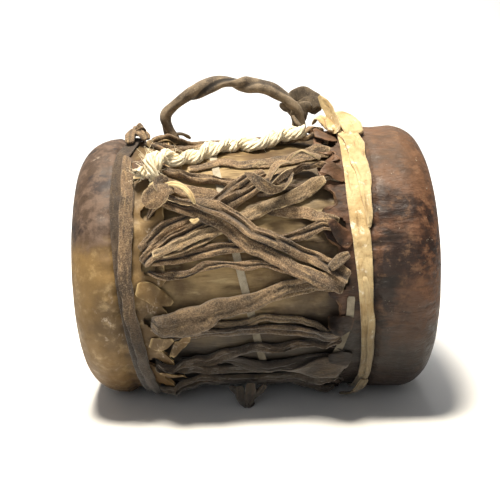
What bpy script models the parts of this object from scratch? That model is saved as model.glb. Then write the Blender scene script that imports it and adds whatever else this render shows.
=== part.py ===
"""Ceremonial log drum: a wooden shell with two rawhide heads, laced with suede thongs, with a handle on top.

The drum lies on its side, resting on a small flat of each head. Its axis runs along X, the front is
towards -Y and the handle is on top. Points on the drum are given as (x, degrees, radius): x along the
axis, degrees round it from the front over the top, and the distance from the axis.
"""

from math import atan, cos, degrees, hypot, pi, radians, sin

import bmesh
import bpy
import numpy as np
from mathutils import Matrix, Vector

# Driving dimensions, in metres and degrees
MM = 0.001
LENGTH = 0.240
LEFT_RADIUS = 0.0907
RIGHT_RADIUS = 0.0950
RIM_LENGTH = 0.023
RIM_DROP = 0.024
HIDE = 0.0022
GAP = 0.0003
WALL = 0.014
WAIST_DROP = 0.0045
BELT_GROOVE = 0.0030
GROOVE_SLOPE = 0.005
GROOVE_ROOM = 0.0006
FLAT_DEPTH = 0.0012

TAB_COUNT = 16
STEPS_PER_TAB = 3
LEFT_TAB_PHASE = -10.0
RIGHT_TAB_PHASE = 4.0
TAB_LENGTH = 0.019
HOLE_FROM_EDGE = 0.006
HOLE_LENGTH = 0.010
SCALLOP_DEPTH = 0.006

LEFT_BELT_AT = 0.0380
RIGHT_BELT_AT = 0.0520
LEFT_BELT_WIDTH = 0.0100
RIGHT_BELT_WIDTH = 0.0120
BELT_THICKNESS = 0.0040

LACE_THICKNESS = 0.0024
STRIP_THICKNESS = 0.0015
TAPE_WIDTH = 0.0050
TAPE_THICKNESS = 0.0008
ROPE_DIAMETER = 0.0075
HANDLE_THICKNESS = 0.0095
HANDLE_TWISTS = 2.5

# Shapes that go with them: shares of a width or a thickness unless a unit is named
BELT_SEAT = 0.6
SKIRT_SPRING = 0.8
LEFT_BELT_SWAY = 0.0035
LEFT_BELT_LEAN = 0.0015
LEFT_BELT_SWELL = 0.1
LEFT_BELT_TURN = 40.0
RIGHT_BELT_SWAY = 0.0018
RIGHT_BELT_SWELL = 0.35
BELT_TOP = 0.7
STRAP_TOP = 0.72
ROPE_CORNERS = 6
HANDLE_CORNERS = 6
HANDLE_RINGS = 30
HANDLE_FLAT = 1.12
HANDLE_THIN = 0.78

# Widths in mm of a lace where it dips into a hole and across the back, and the holes that hold two laces
NECK = 3.6
BACK_LACE_WIDTH = 9
CROSSED_HOLES = (7, 9, 11)

# Derived sizes
SEGMENTS = TAB_COUNT * STEPS_PER_TAB
STEP = 360.0 / SEGMENTS
HALF = LENGTH / 2
MEAN_RADIUS = (LEFT_RADIUS + RIGHT_RADIUS) / 2
SLOPE = atan((RIGHT_RADIUS - LEFT_RADIUS) / LENGTH)
AXIS_HEIGHT = MEAN_RADIUS * cos(SLOPE) - FLAT_DEPTH
DRUM = Matrix.Translation((0, 0, AXIS_HEIGHT)) @ Matrix.Rotation(-SLOPE, 4, "Y")
REST_CLEARANCE = 0.0004

# The two ends: side, phase of the tabs, and the middle of the belt from the end
LEFT, RIGHT = -1, 1
PHASE = {LEFT: LEFT_TAB_PHASE, RIGHT: RIGHT_TAB_PHASE}
BELT_AT = {LEFT: LEFT_BELT_AT, RIGHT: RIGHT_BELT_AT}
BELT_WIDTH = {LEFT: LEFT_BELT_WIDTH, RIGHT: RIGHT_BELT_WIDTH}

# Colours of the materials (linear), with their roughness
WOOD = ((0.42, 0.29, 0.14), 0.7)
TAN_HIDE = ((0.38, 0.25, 0.12), 0.55)
DARK_HIDE = ((0.10, 0.055, 0.035), 0.5)
SUEDE = ((0.13, 0.095, 0.07), 0.95)
DARK_LEATHER = ((0.07, 0.05, 0.035), 0.8)
BUCKSKIN = ((0.70, 0.57, 0.36), 0.85)
COTTON = ((0.75, 0.73, 0.68), 0.95)


def cone_radius(x):
    """Outer radius of the whole drum at x, before the waist."""
    return MEAN_RADIUS + (RIGHT_RADIUS - LEFT_RADIUS) * x / LENGTH


def drum_point(x, angle, radius):
    """A point of the drum in the part's own frame."""
    turn = radians(angle)
    return DRUM @ Vector((x, -radius * cos(turn), radius * sin(turn)))


def belt_x(side):
    return side * (HALF - BELT_AT[side])


def inner_edge(side):
    """Where the belt ends and the tabs begin."""
    return belt_x(side) - side * BELT_WIDTH[side] * BELT_SEAT


def tab_edge(side):
    return inner_edge(side) - side * TAB_LENGTH


def hole_ends(side):
    """The two x of a lacing hole, the inner one first."""
    inner = tab_edge(side) + side * HOLE_FROM_EDGE
    return inner, inner + side * HOLE_LENGTH


def groove(side):
    """The x where the straight stretch of the rim ends, and the outer and inner end of the belt's seat."""
    seat = BELT_WIDTH[side] / 2
    return [belt_x(side) + side * reach for reach in (seat + GROOVE_SLOPE, seat, -seat)]


def shell_knots(side):
    """The x of the shell's groove, a little wider than the hide's, and of the start of the waist."""
    start, outer, inner = groove(side)
    room = side * GROOVE_ROOM
    return [start + room, outer + room, inner, belt_x(side) - side * BELT_WIDTH[side]]


def shell_drop(x):
    """How far the shell lies under the drum's cone: hide thickness, belt groove and waist."""
    side = LEFT if x < 0 else RIGHT
    places = [abs(knot) for knot in reversed(shell_knots(side))]
    depth = np.interp(abs(x), places, [WAIST_DROP, BELT_GROOVE, BELT_GROOVE, 0.0])
    return HIDE + GAP + float(depth)


def shell_radius(x):
    return cone_radius(x) - shell_drop(x)


def skirt_radius(side, x):
    """Outer radius of a head's skirt, which is drawn in under the belt and springs out again at the tabs."""
    start, outer, inner = groove(side)
    places = [abs(tab_edge(side)), abs(inner), abs(outer), abs(start)]
    drop = np.interp(abs(x), places, [HIDE * SKIRT_SPRING, BELT_GROOVE, BELT_GROOVE, 0.0])
    return cone_radius(x) - float(drop)


def hole_angles(side):
    return [PHASE[side] + 360.0 / TAB_COUNT * k for k in range(TAB_COUNT)]


def material(name, look):
    colour, roughness = look
    made = bpy.data.materials.new(name)
    made.use_nodes = True
    shader = made.node_tree.nodes["Principled BSDF"]
    shader.inputs["Base Color"].default_value = (*colour, 1)
    shader.inputs["Roughness"].default_value = roughness
    shader.inputs["Metallic"].default_value = 0.0
    return made


def finish(name, bm, look, floor=REST_CLEARANCE):
    """Puts the mesh on an object, lifted off the surface the drum stands on, with its faces outwards."""
    for vertex in bm.verts:
        vertex.co.z = max(vertex.co.z, floor)
    bmesh.ops.recalc_face_normals(bm, faces=bm.faces)
    if bm.calc_volume(signed=True) < 0:
        bmesh.ops.reverse_faces(bm, faces=bm.faces)
    mesh = bpy.data.meshes.new(name)
    bm.to_mesh(mesh)
    bm.free()
    mesh.shade_smooth()
    mesh.set_sharp_from_angle(angle=radians(40))
    piece = bpy.data.objects.new(name, mesh)
    piece.data.materials.append(material(name, look))
    bpy.context.collection.objects.link(piece)
    return piece


def turned(bm, outline, start):
    """Turns an outline of (x, radius) pairs once round the axis, from a given angle."""
    turn = radians(start)
    verts = [bm.verts.new(Vector((x, -r * cos(turn), r * sin(turn)))) for x, r in outline]
    edges = [bm.edges.new(pair) for pair in zip(verts, verts[1:])]
    bmesh.ops.spin(
        bm,
        geom=verts + edges,
        cent=(0, 0, 0),
        axis=(1, 0, 0),
        angle=2 * pi,
        steps=SEGMENTS,
        use_merge=True,
        use_duplicate=False,
    )
    bmesh.ops.remove_doubles(bm, verts=bm.verts, dist=1e-6)


def rim_curve(side, inset, steps):
    """The rounded rim as (x, radius) pairs, from the flat of the head out to its skirt."""
    points = []
    for k in range(steps + 1):
        turn = pi / 2 * k / steps
        x = side * (HALF - RIM_LENGTH + (RIM_LENGTH - inset) * cos(turn))
        radius = cone_radius(x) - RIM_DROP + (RIM_DROP - inset) * sin(turn)
        points.append((x, radius))
    return points


def make_shell():
    """The hollow log: one wall, waisted between the belts and rounded at both rims."""
    inset = HIDE + GAP
    outline = []
    for side in (LEFT, RIGHT):
        bore = cone_radius(side * HALF) - inset - WALL
        rim = [p for p in rim_curve(side, inset, 3) if p[1] > bore + WALL * 0.2]
        half = [(rim[0][0], bore)] + rim + [(x, shell_radius(x)) for x in shell_knots(side)]
        outline += half if side == LEFT else half[::-1]
    outline.append(outline[0])
    bm = bmesh.new()
    turned(bm, outline, LEFT_TAB_PHASE + STEP / 2)
    bm.transform(DRUM)
    return finish("shell", bm, WOOD)


def make_head(side, name, look):
    """A rawhide head: flat drumming face, round rim, skirt under the belt, and tabs with a hole each."""
    hole_in, hole_out = hole_ends(side)
    skirt = groove(side) + [hole_out, hole_in, tab_edge(side)]
    outline = rim_curve(side, 0.0, 3) + [(x, skirt_radius(side, x)) for x in skirt]
    start = PHASE[side] + STEP / 2
    bm = bmesh.new()
    turned(bm, outline, start)
    open_edges = [e for e in bm.edges if e.is_boundary]
    face_ring = [e for e in open_edges if abs(e.verts[0].co.x) > HALF - HIDE]
    bmesh.ops.contextual_create(bm, geom=face_ring)

    def angle_of(point):
        return degrees(np.arctan2(point.z, -point.y))

    def nearest_hole(angle):
        return min(abs((angle - centre + 180) % 360 - 180) for centre in hole_angles(side))

    low, high = sorted((abs(hole_in), abs(hole_out)))
    holes = []
    for face in bm.faces:
        middle = face.calc_center_median()
        if low < abs(middle.x) < high and nearest_hole(angle_of(middle)) < STEP / 2 - 1:
            holes.append(face)
    bmesh.ops.delete(bm, geom=holes, context="FACES")
    for vertex in bm.verts:
        at_edge = abs(vertex.co.x - tab_edge(side)) < 1e-5
        if at_edge and nearest_hole(angle_of(vertex.co)) > STEP:
            vertex.co.x += side * SCALLOP_DEPTH
    for edge in [e for e in bm.edges if e.is_boundary and e.calc_length() < 1e-6]:
        bmesh.ops.collapse(bm, edges=[edge])
    bmesh.ops.recalc_face_normals(bm, faces=bm.faces)
    outward = sum((f.normal.dot(f.calc_center_median()) for f in bm.faces), 0.0)
    if outward < 0:
        bmesh.ops.reverse_faces(bm, faces=bm.faces)
    bmesh.ops.solidify(bm, geom=bm.faces, thickness=HIDE)
    bm.transform(DRUM)
    return finish(name, bm, look, floor=0.0)


def grid_tube(bm, rings, closed=False):
    """A tube through rings of equally many points: a grid rolled up, with its ends filled or joined."""
    if closed:
        rings = rings + [rings[0]]
    corners = len(rings[0])
    made = bmesh.ops.create_grid(bm, x_segments=corners, y_segments=len(rings) - 1, size=1)["verts"]
    made.sort(key=lambda v: (round(v.co.y, 5), round(v.co.x, 5)))
    for index, vertex in enumerate(made):
        row, column = divmod(index, corners + 1)
        vertex.co = rings[row][column % corners]
    bmesh.ops.remove_doubles(bm, verts=made, dist=1e-7)
    if not closed:
        edges = [e for e in bm.edges if e.is_boundary]
        bmesh.ops.holes_fill(bm, edges=edges, sides=corners)


class Relief:
    """The height of the drum's surface over (x, angle), which every lace laid on it raises."""

    CELL = 0.001
    TURN_CELL = 0.6
    INSIDE_HOLE = 0.0005

    def __init__(self):
        self.xs = np.arange(-HALF, HALF + self.CELL, self.CELL)
        self.turns = np.arange(0, 360, self.TURN_CELL)
        self.height = np.zeros((len(self.xs), len(self.turns)))
        for i, x in enumerate(self.xs):
            self.height[i, :] = shell_radius(x)
        for side in (LEFT, RIGHT):
            self.add_skirt(side)

    def add_skirt(self, side):
        hole_in, hole_out = (abs(x) for x in hole_ends(side))
        half_hole = STEP / 2 - degrees(self.INSIDE_HOLE / MEAN_RADIUS)
        turns_away = self.turns[:, None] - np.array(hole_angles(side))[None, :]
        off = np.abs((turns_away + 180) % 360 - 180).min(axis=1)
        edge = abs(tab_edge(side)) + SCALLOP_DEPTH * np.clip((off - STEP / 2) / STEP, 0, 1) - self.CELL
        for i, x in enumerate(self.xs):
            if x * side <= 0:
                continue
            on_hide = abs(x) > edge
            if hole_in + self.INSIDE_HOLE < abs(x) < hole_out - self.INSIDE_HOLE:
                on_hide &= off > half_hole
            self.height[i, on_hide] = skirt_radius(side, x)

    def cell(self, x, angle):
        i = np.clip(np.rint((np.asarray(x) + HALF) / self.CELL).astype(int), 0, len(self.xs) - 1)
        j = np.rint((np.asarray(angle) % 360) / self.TURN_CELL).astype(int) % len(self.turns)
        return i, j

    def highest(self, x, angle):
        """The highest place within a cell of each given point."""
        i, j = self.cell(x, angle)
        found = np.full(np.shape(i), -1.0)
        for di in (-1, 0, 1):
            for dj in (-1, 0, 1):
                row = np.clip(i + di, 0, len(self.xs) - 1)
                found = np.maximum(found, self.height[row, (j + dj) % len(self.turns)])
        return found

    def raise_to(self, x, angle, radius):
        i, j = self.cell(x, angle)
        np.maximum.at(self.height, (i, j), radius)


# How a strap is laid: the spacing of its samples, how many of them it bends over at its ends and where it
# is taut, the length of its slack end, how far it may stray from its route, and the room at its edges
SAMPLE = 0.001
SETTLE = 2
SPAN = 7
ROPE_SPAN = 5
END_RUN = 0.012
TOLERANCE = 0.0008
EDGE_MARGIN = 0.0006
CHORD = 0.00025
FEELERS = 15
TOP_LINES = 25


# The drum that the routes, knots and handle are drawn on: its ends, belts and tab edges in mm along its axis,
# and the radii of its two ends. They follow the drum when its own sizes change.
DRAWN_ENDS = 120.0
DRAWN_BELTS = (-82.0, 68.0)
DRAWN_TABS = (-57.0, 41.8)
DRAWN_RADII = (90.7, 95.0)


def places_along():
    """The drawn places along the axis in mm, and where they are on this drum."""
    drawn = [-DRAWN_ENDS, DRAWN_BELTS[0], DRAWN_TABS[0], DRAWN_TABS[1], DRAWN_BELTS[1], DRAWN_ENDS]
    real = [-HALF, belt_x(LEFT), tab_edge(LEFT), tab_edge(RIGHT), belt_x(RIGHT), HALF]
    return drawn, [x / MM for x in real]


def fitted(x):
    """A drawn place along the axis, in mm, as it is on this drum."""
    drawn, real = places_along()
    return float(np.interp(x, drawn, real))


def swell(x):
    """How far this drum's side lies outside the drawn one's, in mm, at a drawn place along the axis."""
    drawn = float(np.interp(x, (-DRAWN_ENDS, DRAWN_ENDS), DRAWN_RADII))
    return cone_radius(fitted(x) * MM) / MM - drawn


def smooth_route(points, widths):
    """Samples a smooth curve through the route's points, a millimetre apart, as x, angle and width."""
    px = np.array([fitted(p[0]) * MM for p in points])
    pa = np.array([radians(p[1]) * MEAN_RADIUS for p in points])
    pw = np.interp(np.linspace(0, 1, len(points)), np.linspace(0, 1, len(widths)), widths) * MM
    run = np.concatenate([[0], np.cumsum(np.hypot(np.diff(px), np.diff(pa)))])
    count = max(int(run[-1] / SAMPLE), 4)
    at = np.linspace(0, run[-1], count)

    def through(values):
        slopes = np.gradient(values, run)
        k = np.clip(np.searchsorted(run, at, side="right") - 1, 0, len(run) - 2)
        span = run[k + 1] - run[k]
        t = (at - run[k]) / span
        a = (2 * t**3 - 3 * t**2 + 1) * values[k] + (t**3 - 2 * t**2 + t) * span * slopes[k]
        b = (3 * t**2 - 2 * t**3) * values[k + 1] + (t**3 - t**2) * span * slopes[k + 1]
        return a + b

    return through(px), through(pa), np.interp(at, run, pw)


def thinned(columns, tolerance):
    """Indices of the samples that keep every column within the tolerance of straight lines between them."""
    last = len(columns[0]) - 1
    keep = {0, last}
    spans = [(0, last)]
    while spans:
        a, b = spans.pop()
        if b - a < 2:
            continue
        t = (np.arange(a, b + 1) - a) / (b - a)
        error = sum(((c[a] + (c[b] - c[a]) * t - c[a : b + 1]) / tolerance) ** 2 for c in columns)
        worst = a + int(np.argmax(error))
        if error.max() > 1.0:
            keep.add(worst)
            spans += [(a, worst), (worst, b)]
    return np.array(sorted(keep))


def round_columns(arc, chord):
    """A route's place round the axis, scaled so that straight lines between samples stay close to it."""
    turn = arc / MEAN_RADIUS
    scale = MEAN_RADIUS * TOLERANCE / chord
    return [scale * np.cos(turn), scale * np.sin(turn)]


def settle(needed, reach):
    """Lifts a height line to its neighbours' level and rounds it off, never below what is needed."""
    padded = np.pad(needed, reach, mode="edge")
    top = np.max([padded[k : k + len(needed)] for k in range(2 * reach + 1)], axis=0)
    padded = np.pad(top, reach, mode="edge")
    return np.mean([padded[k : k + len(needed)] for k in range(2 * reach + 1)], axis=0)


def lay(name, relief, points, widths, thickness, look, closed=False):
    """Lays a flat strap along a route over whatever is already on the drum."""
    x, arc, width = smooth_route(points, widths)
    along = np.hypot(np.gradient(x), np.gradient(arc))
    side_x, side_arc = -np.gradient(arc) / along, np.gradient(x) / along
    angle = np.degrees(arc / MEAN_RADIUS)
    needed = np.zeros(len(x))
    for share in np.linspace(-1, 1, FEELERS):
        reach = share * (width / 2 + EDGE_MARGIN)
        turn = np.degrees((arc + side_arc * reach) / MEAN_RADIUS)
        needed = np.maximum(needed, relief.highest(x + side_x * reach, turn))
    from_end = np.minimum(np.arange(len(x)), np.arange(len(x))[::-1]) * SAMPLE
    taut = np.clip((from_end - END_RUN) / END_RUN, 0, 1)
    near, far = settle(needed, SETTLE), settle(needed, SPAN)
    bottom = near + (np.maximum(far, near) - near) * taut + GAP + TOLERANCE + CHORD
    chord = CHORD + GAP / 2 if closed else CHORD
    keep = thinned([x, arc, bottom, width] + round_columns(arc, chord), TOLERANCE)
    if closed:
        keep = keep[:-1]
    rings = []
    for k in keep:
        ring = []
        for share, up in ((-1, 0), (1, 0), (STRAP_TOP, 1), (-STRAP_TOP, 1)):
            offset = share * width[k] / 2
            turn = np.degrees((arc[k] + side_arc[k] * offset) / MEAN_RADIUS)
            ring.append(drum_point(x[k] + side_x[k] * offset, turn, bottom[k] + up * thickness))
        rings.append(ring)
    bm = bmesh.new()
    grid_tube(bm, rings, closed)
    fine = np.arange(0, len(x) - 1 + 0.5, 0.5)
    whole = keep if not closed else np.append(keep, len(x) - 1)
    for share in np.linspace(-1, 1, TOP_LINES):
        reach = share * (np.interp(fine, whole, width[whole]) / 2 + EDGE_MARGIN)
        line_x = np.interp(fine, whole, x[whole]) + np.interp(fine, whole, side_x[whole]) * reach
        line_arc = np.interp(fine, whole, arc[whole]) + np.interp(fine, whole, side_arc[whole]) * reach
        top = np.interp(fine, whole, bottom[whole]) + thickness
        relief.raise_to(line_x, np.degrees(line_arc / MEAN_RADIUS), top)
    return finish(name, bm, look)


def hole_x(side):
    """The middle of the lacing holes, as a drawn place."""
    drawn, real = places_along()
    return float(np.interp(sum(hole_ends(side)) / 2 / MM, real, drawn))


def tied(side, hole, strand=0):
    """The route point in a lacing hole; two strands share a hole side by side."""
    return (hole_x(side), PHASE[side] + 360.0 / TAB_COUNT * hole + strand * 1.6)


def front_laces():
    """Laces across the front as (route, widths in mm), in the order in which they were laid.

    A route is a list of (x in mm, degrees) points; an end that is tied runs down into a hole of a tab.
    """
    return [
        ([tied(LEFT, -3), (-40, -74), (0, -72), (30, -69), tied(RIGHT, -3)], [NECK, 9, 9, 8, NECK]),
        (
            [tied(LEFT, -2, -1), (-48, -60), (-20, -62), (12, -61), (36, -63), tied(RIGHT, -3, 1)],
            [NECK, 8, 10, 10, 8, NECK],
        ),
        (
            [tied(LEFT, -2, 1), (-54, -51), (-20, -53), (4, -53), (22, -50), (38, -46), tied(RIGHT, -2, -1)],
            [NECK, 8, 9, 9, 9, 7, NECK],
        ),
        (
            [tied(LEFT, -1, -1), (-57, -38), (-44, -41), (-20, -42), (0, -40), (15, -38), (34, -38)]
            + [tied(RIGHT, -2, 1)],
            [NECK, 7, 9, 9, 9, 9, 8, NECK],
        ),
        ([(-52, -34), (-33, -35), (-21, -34), (0, -37), (20, -35), (34, -34), (46, -32)], [5, 7, 7, 6, 4]),
        (
            [tied(LEFT, -1, 1), (-52, -33), (-32, -32), (-19, -29), (-7, -26), (11, -26), (26, -25)]
            + [(38, -23), tied(RIGHT, -1, -1)],
            [NECK, 6, 8, 8, 8, 7, 6, 6, NECK],
        ),
        ([(4, -45), (16, -42), (29, -38), (40, -36), (51, -35), (59, -36)], [7, 9, 13, 15, 14]),
        (
            [(-40, -16), (-26, -14), (-13, -14), (1, -11), (15, -12), (29, -13), (40, -15)]
            + [tied(RIGHT, -1, 1)],
            [5, 6, 5, 5, NECK],
        ),
        (
            [(-60, -20), (-37, -17), (-13, -17), (1, -16), (15, -17), (29, -18), (42, -18), (51, -17)],
            [6, 7, 7, 8, 8],
        ),
        (
            [tied(LEFT, 1, -1), (-60, 9), (-51, 9), (-42, 10), (-31, 12), (-21, 13), (-10, 12), (1, 12)]
            + [(12, 11), (24, 9), (38, 6), tied(RIGHT, 0, 1)],
            [NECK, 6, 7, 6, 7, 7, 6, NECK],
        ),
        (
            [tied(LEFT, 3, -1), (-60, 56), (-51, 55), (-41, 54), (-28, 51), (-15, 49), (-5, 48), (8, 49)]
            + [(24, 53), (35, 55), (42, 53), tied(RIGHT, 2, 1)],
            [NECK, 8, 8, 7, 6, 6, NECK],
        ),
        (
            [tied(LEFT, 4, -1), (-60, 74), (-40, 78), (-25, 83), (0, 85), (25, 82), tied(RIGHT, 3, 1)],
            [NECK, 7, 8, 8, 7, NECK],
        ),
        ([(2, 43), (12, 44), (24, 45), (36, 45), tied(RIGHT, 2, -1)], [6, 7, 6, NECK]),
        ([(6, 36), (20, 34), (31, 33), (41, 30), tied(RIGHT, 1, 1)], [7, 9, 8, NECK]),
        (
            [tied(LEFT, 1, 1), (-60, 15), (-50, 16), (-38, 17), (-25, 19), (-8, 20), (8, 21), (20, 22)]
            + [(32, 24), (41, 26), tied(RIGHT, 1, -1)],
            [NECK, 8, 9, 8, 7, 8, NECK],
        ),
        ([(-58, 17), (-47, 19), (-38, 21), (-27, 25), (-17, 28)], [4, 5, 4]),
        (
            [(-30, -10), (-20, -9), (-8, -7), (2, -5), (12, -2), (26, 0), (39, 2), tied(RIGHT, 0, -1)],
            [4, 4, 5, NECK],
        ),
        (
            [(-42, 59), (-30, 61), (-20, 63), (-8, 61), (10, 62), (30, 64), (43, 66), (52, 64)],
            [6, 7, 8, 12, 13, 5],
        ),
        (
            [tied(LEFT, 4, 1), (-58, 86), (-40, 90), (-10, 91), (20, 91), (38, 91), tied(RIGHT, 4, -1)],
            [NECK, 8, 8, 7, NECK],
        ),
        ([tied(LEFT, 3, 1), (-61, 51), (-51, 48), (-38, 45), (-25, 42), (-17, 38)], [NECK, 9, 10, 11, 9]),
        (
            [tied(LEFT, 0), (-60, -11), (-53, -11), (-47, -10), (-38, -9), (-26, -6), (-12, -4), (1, -2)]
            + [(11, 1), (20, 3), (30, 4), (44, 4)],
            [4, 12, 15, 13, 10, 9, 9, 8, 6],
        ),
        (
            [(-72, 19), (-58, 27), (-48, 31), (-40, 33), (-32, 35), (-22, 40), (-12, 46), (-2, 51), (8, 54)],
            [8, 8, 8, 7, 7],
        ),
        (
            [(-71, 14), (-55, 22), (-45, 26), (-33, 30), (-25, 33), (-15, 38), (-4, 43), (8, 47)],
            [8, 8, 8, 8, 7],
        ),
        (
            [(-64, 17), (-55, 19), (-44, 22), (-33, 25), (-20, 28), (-10, 31), (0, 34), (12, 37)]
            + [(22, 39), (32, 42), (45, 46)],
            [5, 6, 7, 9, 9, 9],
        ),
        (
            [tied(LEFT, 2, -1), (-59, 38), (-48, 36), (-38, 34), (-28, 31), (-18, 27), (-9, 22), (1, 18)]
            + [(13, 14), (24, 10), (35, 7), (45, 5), (54, 2)],
            [NECK, 8, 9, 9, 9],
        ),
        (
            [tied(LEFT, 2, 1), (-60, 42), (-49, 40), (-41, 38), (-29, 35), (-17, 32), (-7, 28), (2, 24)]
            + [(13, 21), (26, 17), (39, 13), (50, 9), (57, 6)],
            [NECK, 8, 10, 9, 9],
        ),
    ]


def back_laces():
    """The plain zigzag over the back and under the drum, from every left hole to a right one and back."""
    widths = [NECK, BACK_LACE_WIDTH, BACK_LACE_WIDTH, BACK_LACE_WIDTH, NECK]
    behind_handle = [tied(LEFT, 5, 1), (-58, 107), (-40, 109), (0, 112), (36, 114), tied(RIGHT, 5, 1)]
    laces = [(behind_handle, widths)]
    for hole in range(6, 13):
        there = [tied(LEFT, hole, -1), (-40, 0), (0, 0), (26, 0), tied(RIGHT, hole, 1)]
        back = [tied(LEFT, hole, 1), (-44, 0), (0, 0), (30, 0), tied(RIGHT, hole - 2, -1)]
        for route in (there, back) if hole in CROSSED_HOLES else (there,):
            (x0, a0), (x1, a1) = route[0], route[-1]
            line = [(x, a0 + (a1 - a0) * (x - x0) / (x1 - x0)) for x, _ in route]
            laces.append((line, widths))
    return laces


TAPE_MIDDLE = -10.5
TAPE_SWAY = 18.0
TAPE_TURN = 10.0


def tape_x(angle):
    return TAPE_MIDDLE - TAPE_SWAY * sin(radians(angle - TAPE_TURN))


def make_tapes(relief):
    """The cotton tape right round the shell, and a shorter one that slants under the right tabs."""
    ring = [(tape_x(angle), angle) for angle in range(-180, 181, 12)]
    width = TAPE_WIDTH / MM
    lay("cotton_tape", relief, ring, [width], TAPE_THICKNESS, COTTON, closed=True)
    short = [(59, -2), (56, -16), (50, -31), (43, -45), (34, -62)]
    lay("cotton_tape_short", relief, short, [width], TAPE_THICKNESS, COTTON)


ROPE_ROUTE = [(-67, 58), (-60, 63), (-49, 67), (-37, 70), (-25, 75), (-10, 79), (5, 79), (20, 82), (37, 83)]
STRIP_ROUTE = [(-53, 46), (-47, 46), (-42, 44), (-37, 40), (-33, 37)]
STRIP_WIDTHS = [6, 7, 6, 4]


def make_rope(relief):
    """The white rope along the top: a round cord lying on the laces."""
    x, arc, _ = smooth_route(ROPE_ROUTE, [1])
    radius = ROPE_DIAMETER / 2
    needed = np.zeros(len(x))
    for share in np.linspace(-1, 1, FEELERS):
        turn = np.degrees((arc + share * (radius + EDGE_MARGIN)) / MEAN_RADIUS)
        needed = np.maximum(needed, relief.highest(x, turn))
    middle = settle(needed, ROPE_SPAN) + GAP + TOLERANCE + radius
    keep = thinned([x, arc, middle] + round_columns(arc, CHORD), TOLERANCE)
    rings = []
    for k in keep:
        ring = []
        for corner in range(ROPE_CORNERS):
            turn = 2 * pi * (corner + 0.5) / ROPE_CORNERS
            angle = np.degrees((arc[k] + radius * cos(turn)) / MEAN_RADIUS)
            ring.append(drum_point(x[k], angle, middle[k] + radius * sin(turn)))
        rings.append(ring)
    bm = bmesh.new()
    grid_tube(bm, rings)
    for share in np.linspace(-1, 1, TOP_LINES):
        turn = np.degrees((arc + share * radius) / MEAN_RADIUS)
        relief.raise_to(x, turn, middle + radius)
    return finish("white_rope", bm, COTTON)


def belt_ring(side, angle):
    """The middle, width and inner radius of a belt at an angle; the right one is broader over the top."""
    if side == LEFT:
        turn = radians(angle - LEFT_BELT_TURN)
        x = belt_x(LEFT) + LEFT_BELT_SWAY * sin(turn) ** 2 - LEFT_BELT_LEAN
        width = LEFT_BELT_WIDTH * (1 + LEFT_BELT_SWELL * cos(turn))
    else:
        turn = radians(angle)
        x = belt_x(RIGHT) - RIGHT_BELT_SWAY * sin(turn)
        width = RIGHT_BELT_WIDTH * (1 + RIGHT_BELT_SWELL * sin(turn))
    under = max(skirt_radius(side, x - width / 2), skirt_radius(side, x + width / 2))
    return x, width, under + GAP


def lump(middle, size, turn):
    """One fold of a knot: a ball drawn out to a size and turned about all three axes."""
    bm = bmesh.new()
    bmesh.ops.create_icosphere(bm, subdivisions=1, radius=0.5)
    bmesh.ops.scale(bm, verts=bm.verts, vec=size)
    for axis, angle in zip("XYZ", turn):
        bmesh.ops.rotate(bm, verts=bm.verts, matrix=Matrix.Rotation(radians(angle), 3, axis))
    bmesh.ops.translate(bm, verts=bm.verts, vec=middle)
    return bm


def knotted(piece, folds, solver="EXACT"):
    """Joins the folds of a knot to the strap that they are tied in."""
    for index, (middle, size, turn) in enumerate(folds):
        bm = lump(middle, size, turn)
        fold = finish(f"{piece.name}_fold_{index}", bm, SUEDE)
        fold.hide_render = True
        fold.display_type = "WIRE"
        union = piece.modifiers.new(f"fold_{index}", "BOOLEAN")
        union.operation = "UNION"
        union.solver = solver
        union.object = fold
    return piece


def make_belt(side, name, look, folds):
    rings = []
    for k in range(SEGMENTS):
        angle = PHASE[side] + STEP / 2 + STEP * k
        x, width, under = belt_ring(side, angle)
        ring = []
        for share, up in ((-1, 0), (1, 0), (BELT_TOP, 1), (-BELT_TOP, 1)):
            ring.append(drum_point(x + share * width / 2, angle, under + up * BELT_THICKNESS))
        rings.append(ring)
    bm = bmesh.new()
    grid_tube(bm, rings, closed=True)
    return knotted(finish(name, bm, look), folds, "EXACT" if side == LEFT else "MANIFOLD")


def on_drum(x, angle, radius):
    """A drawn point, in mm and degrees, on this drum."""
    return drum_point(fitted(x) * MM, angle, (radius + swell(x)) * MM)


# The carrying loop as (x, height above the axis) in mm between its feet, and how it leans back at its foot
LEFT_FOOT_X, RIGHT_FOOT_X = -50, 37
FOOT_GAP = 2.0
HANDLE_LOOP = [(-51, 94), (-58, 101), (-60, 108), (-50, 117), (-34, 126), (-18, 129), (2, 127), (17, 124)]
HANDLE_LOOP += [(27, 117), (34, 109), (37, 100)]
HANDLE_LEAN = 99.5
HANDLE_BEND_AT = 95
HANDLE_BEND_OVER = 60

# Knots as folds: ((x in mm, degrees, radius in mm), size in mm, turn in degrees about X, Y and Z)
HANDLE_KNOT = [
    ((36, 97, 110), (20, 8, 20), (0, 20, 0)),
    ((45, 97, 108), (12, 7, 21), (0, -15, 0)),
    ((31, 98, 104), (11, 9, 12), (0, 0, 0)),
]
LEFT_BELT_KNOT = [
    ((-79, 88, 95), (14, 14, 12), (0, 15, 20)),
    ((-76, 92, 98), (10, 9, 10), (30, 0, 0)),
]
RIGHT_BELT_KNOT = [
    ((62.5, 85.5, 98.7), (20, 14, 13), (0, 12, 5)),
    ((56, 85, 106), (10, 9, 24), (0, 25, 0)),
]
BOW = [
    ((13, 47, 101), (16, 10, 12), (0, 0, 0)),
    ((5, 49, 102), (18, 9, 11), (20, 20, 0)),
    ((16, 51, 102), (14, 8, 14), (20, -30, 0)),
]
HANGING_KNOT = [
    ((-9, -58, 101), (12, 12, 10), (40, 0, 0)),
    ((-12, -54, 99), (12, 8, 8), (0, 20, 0)),
]


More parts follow.
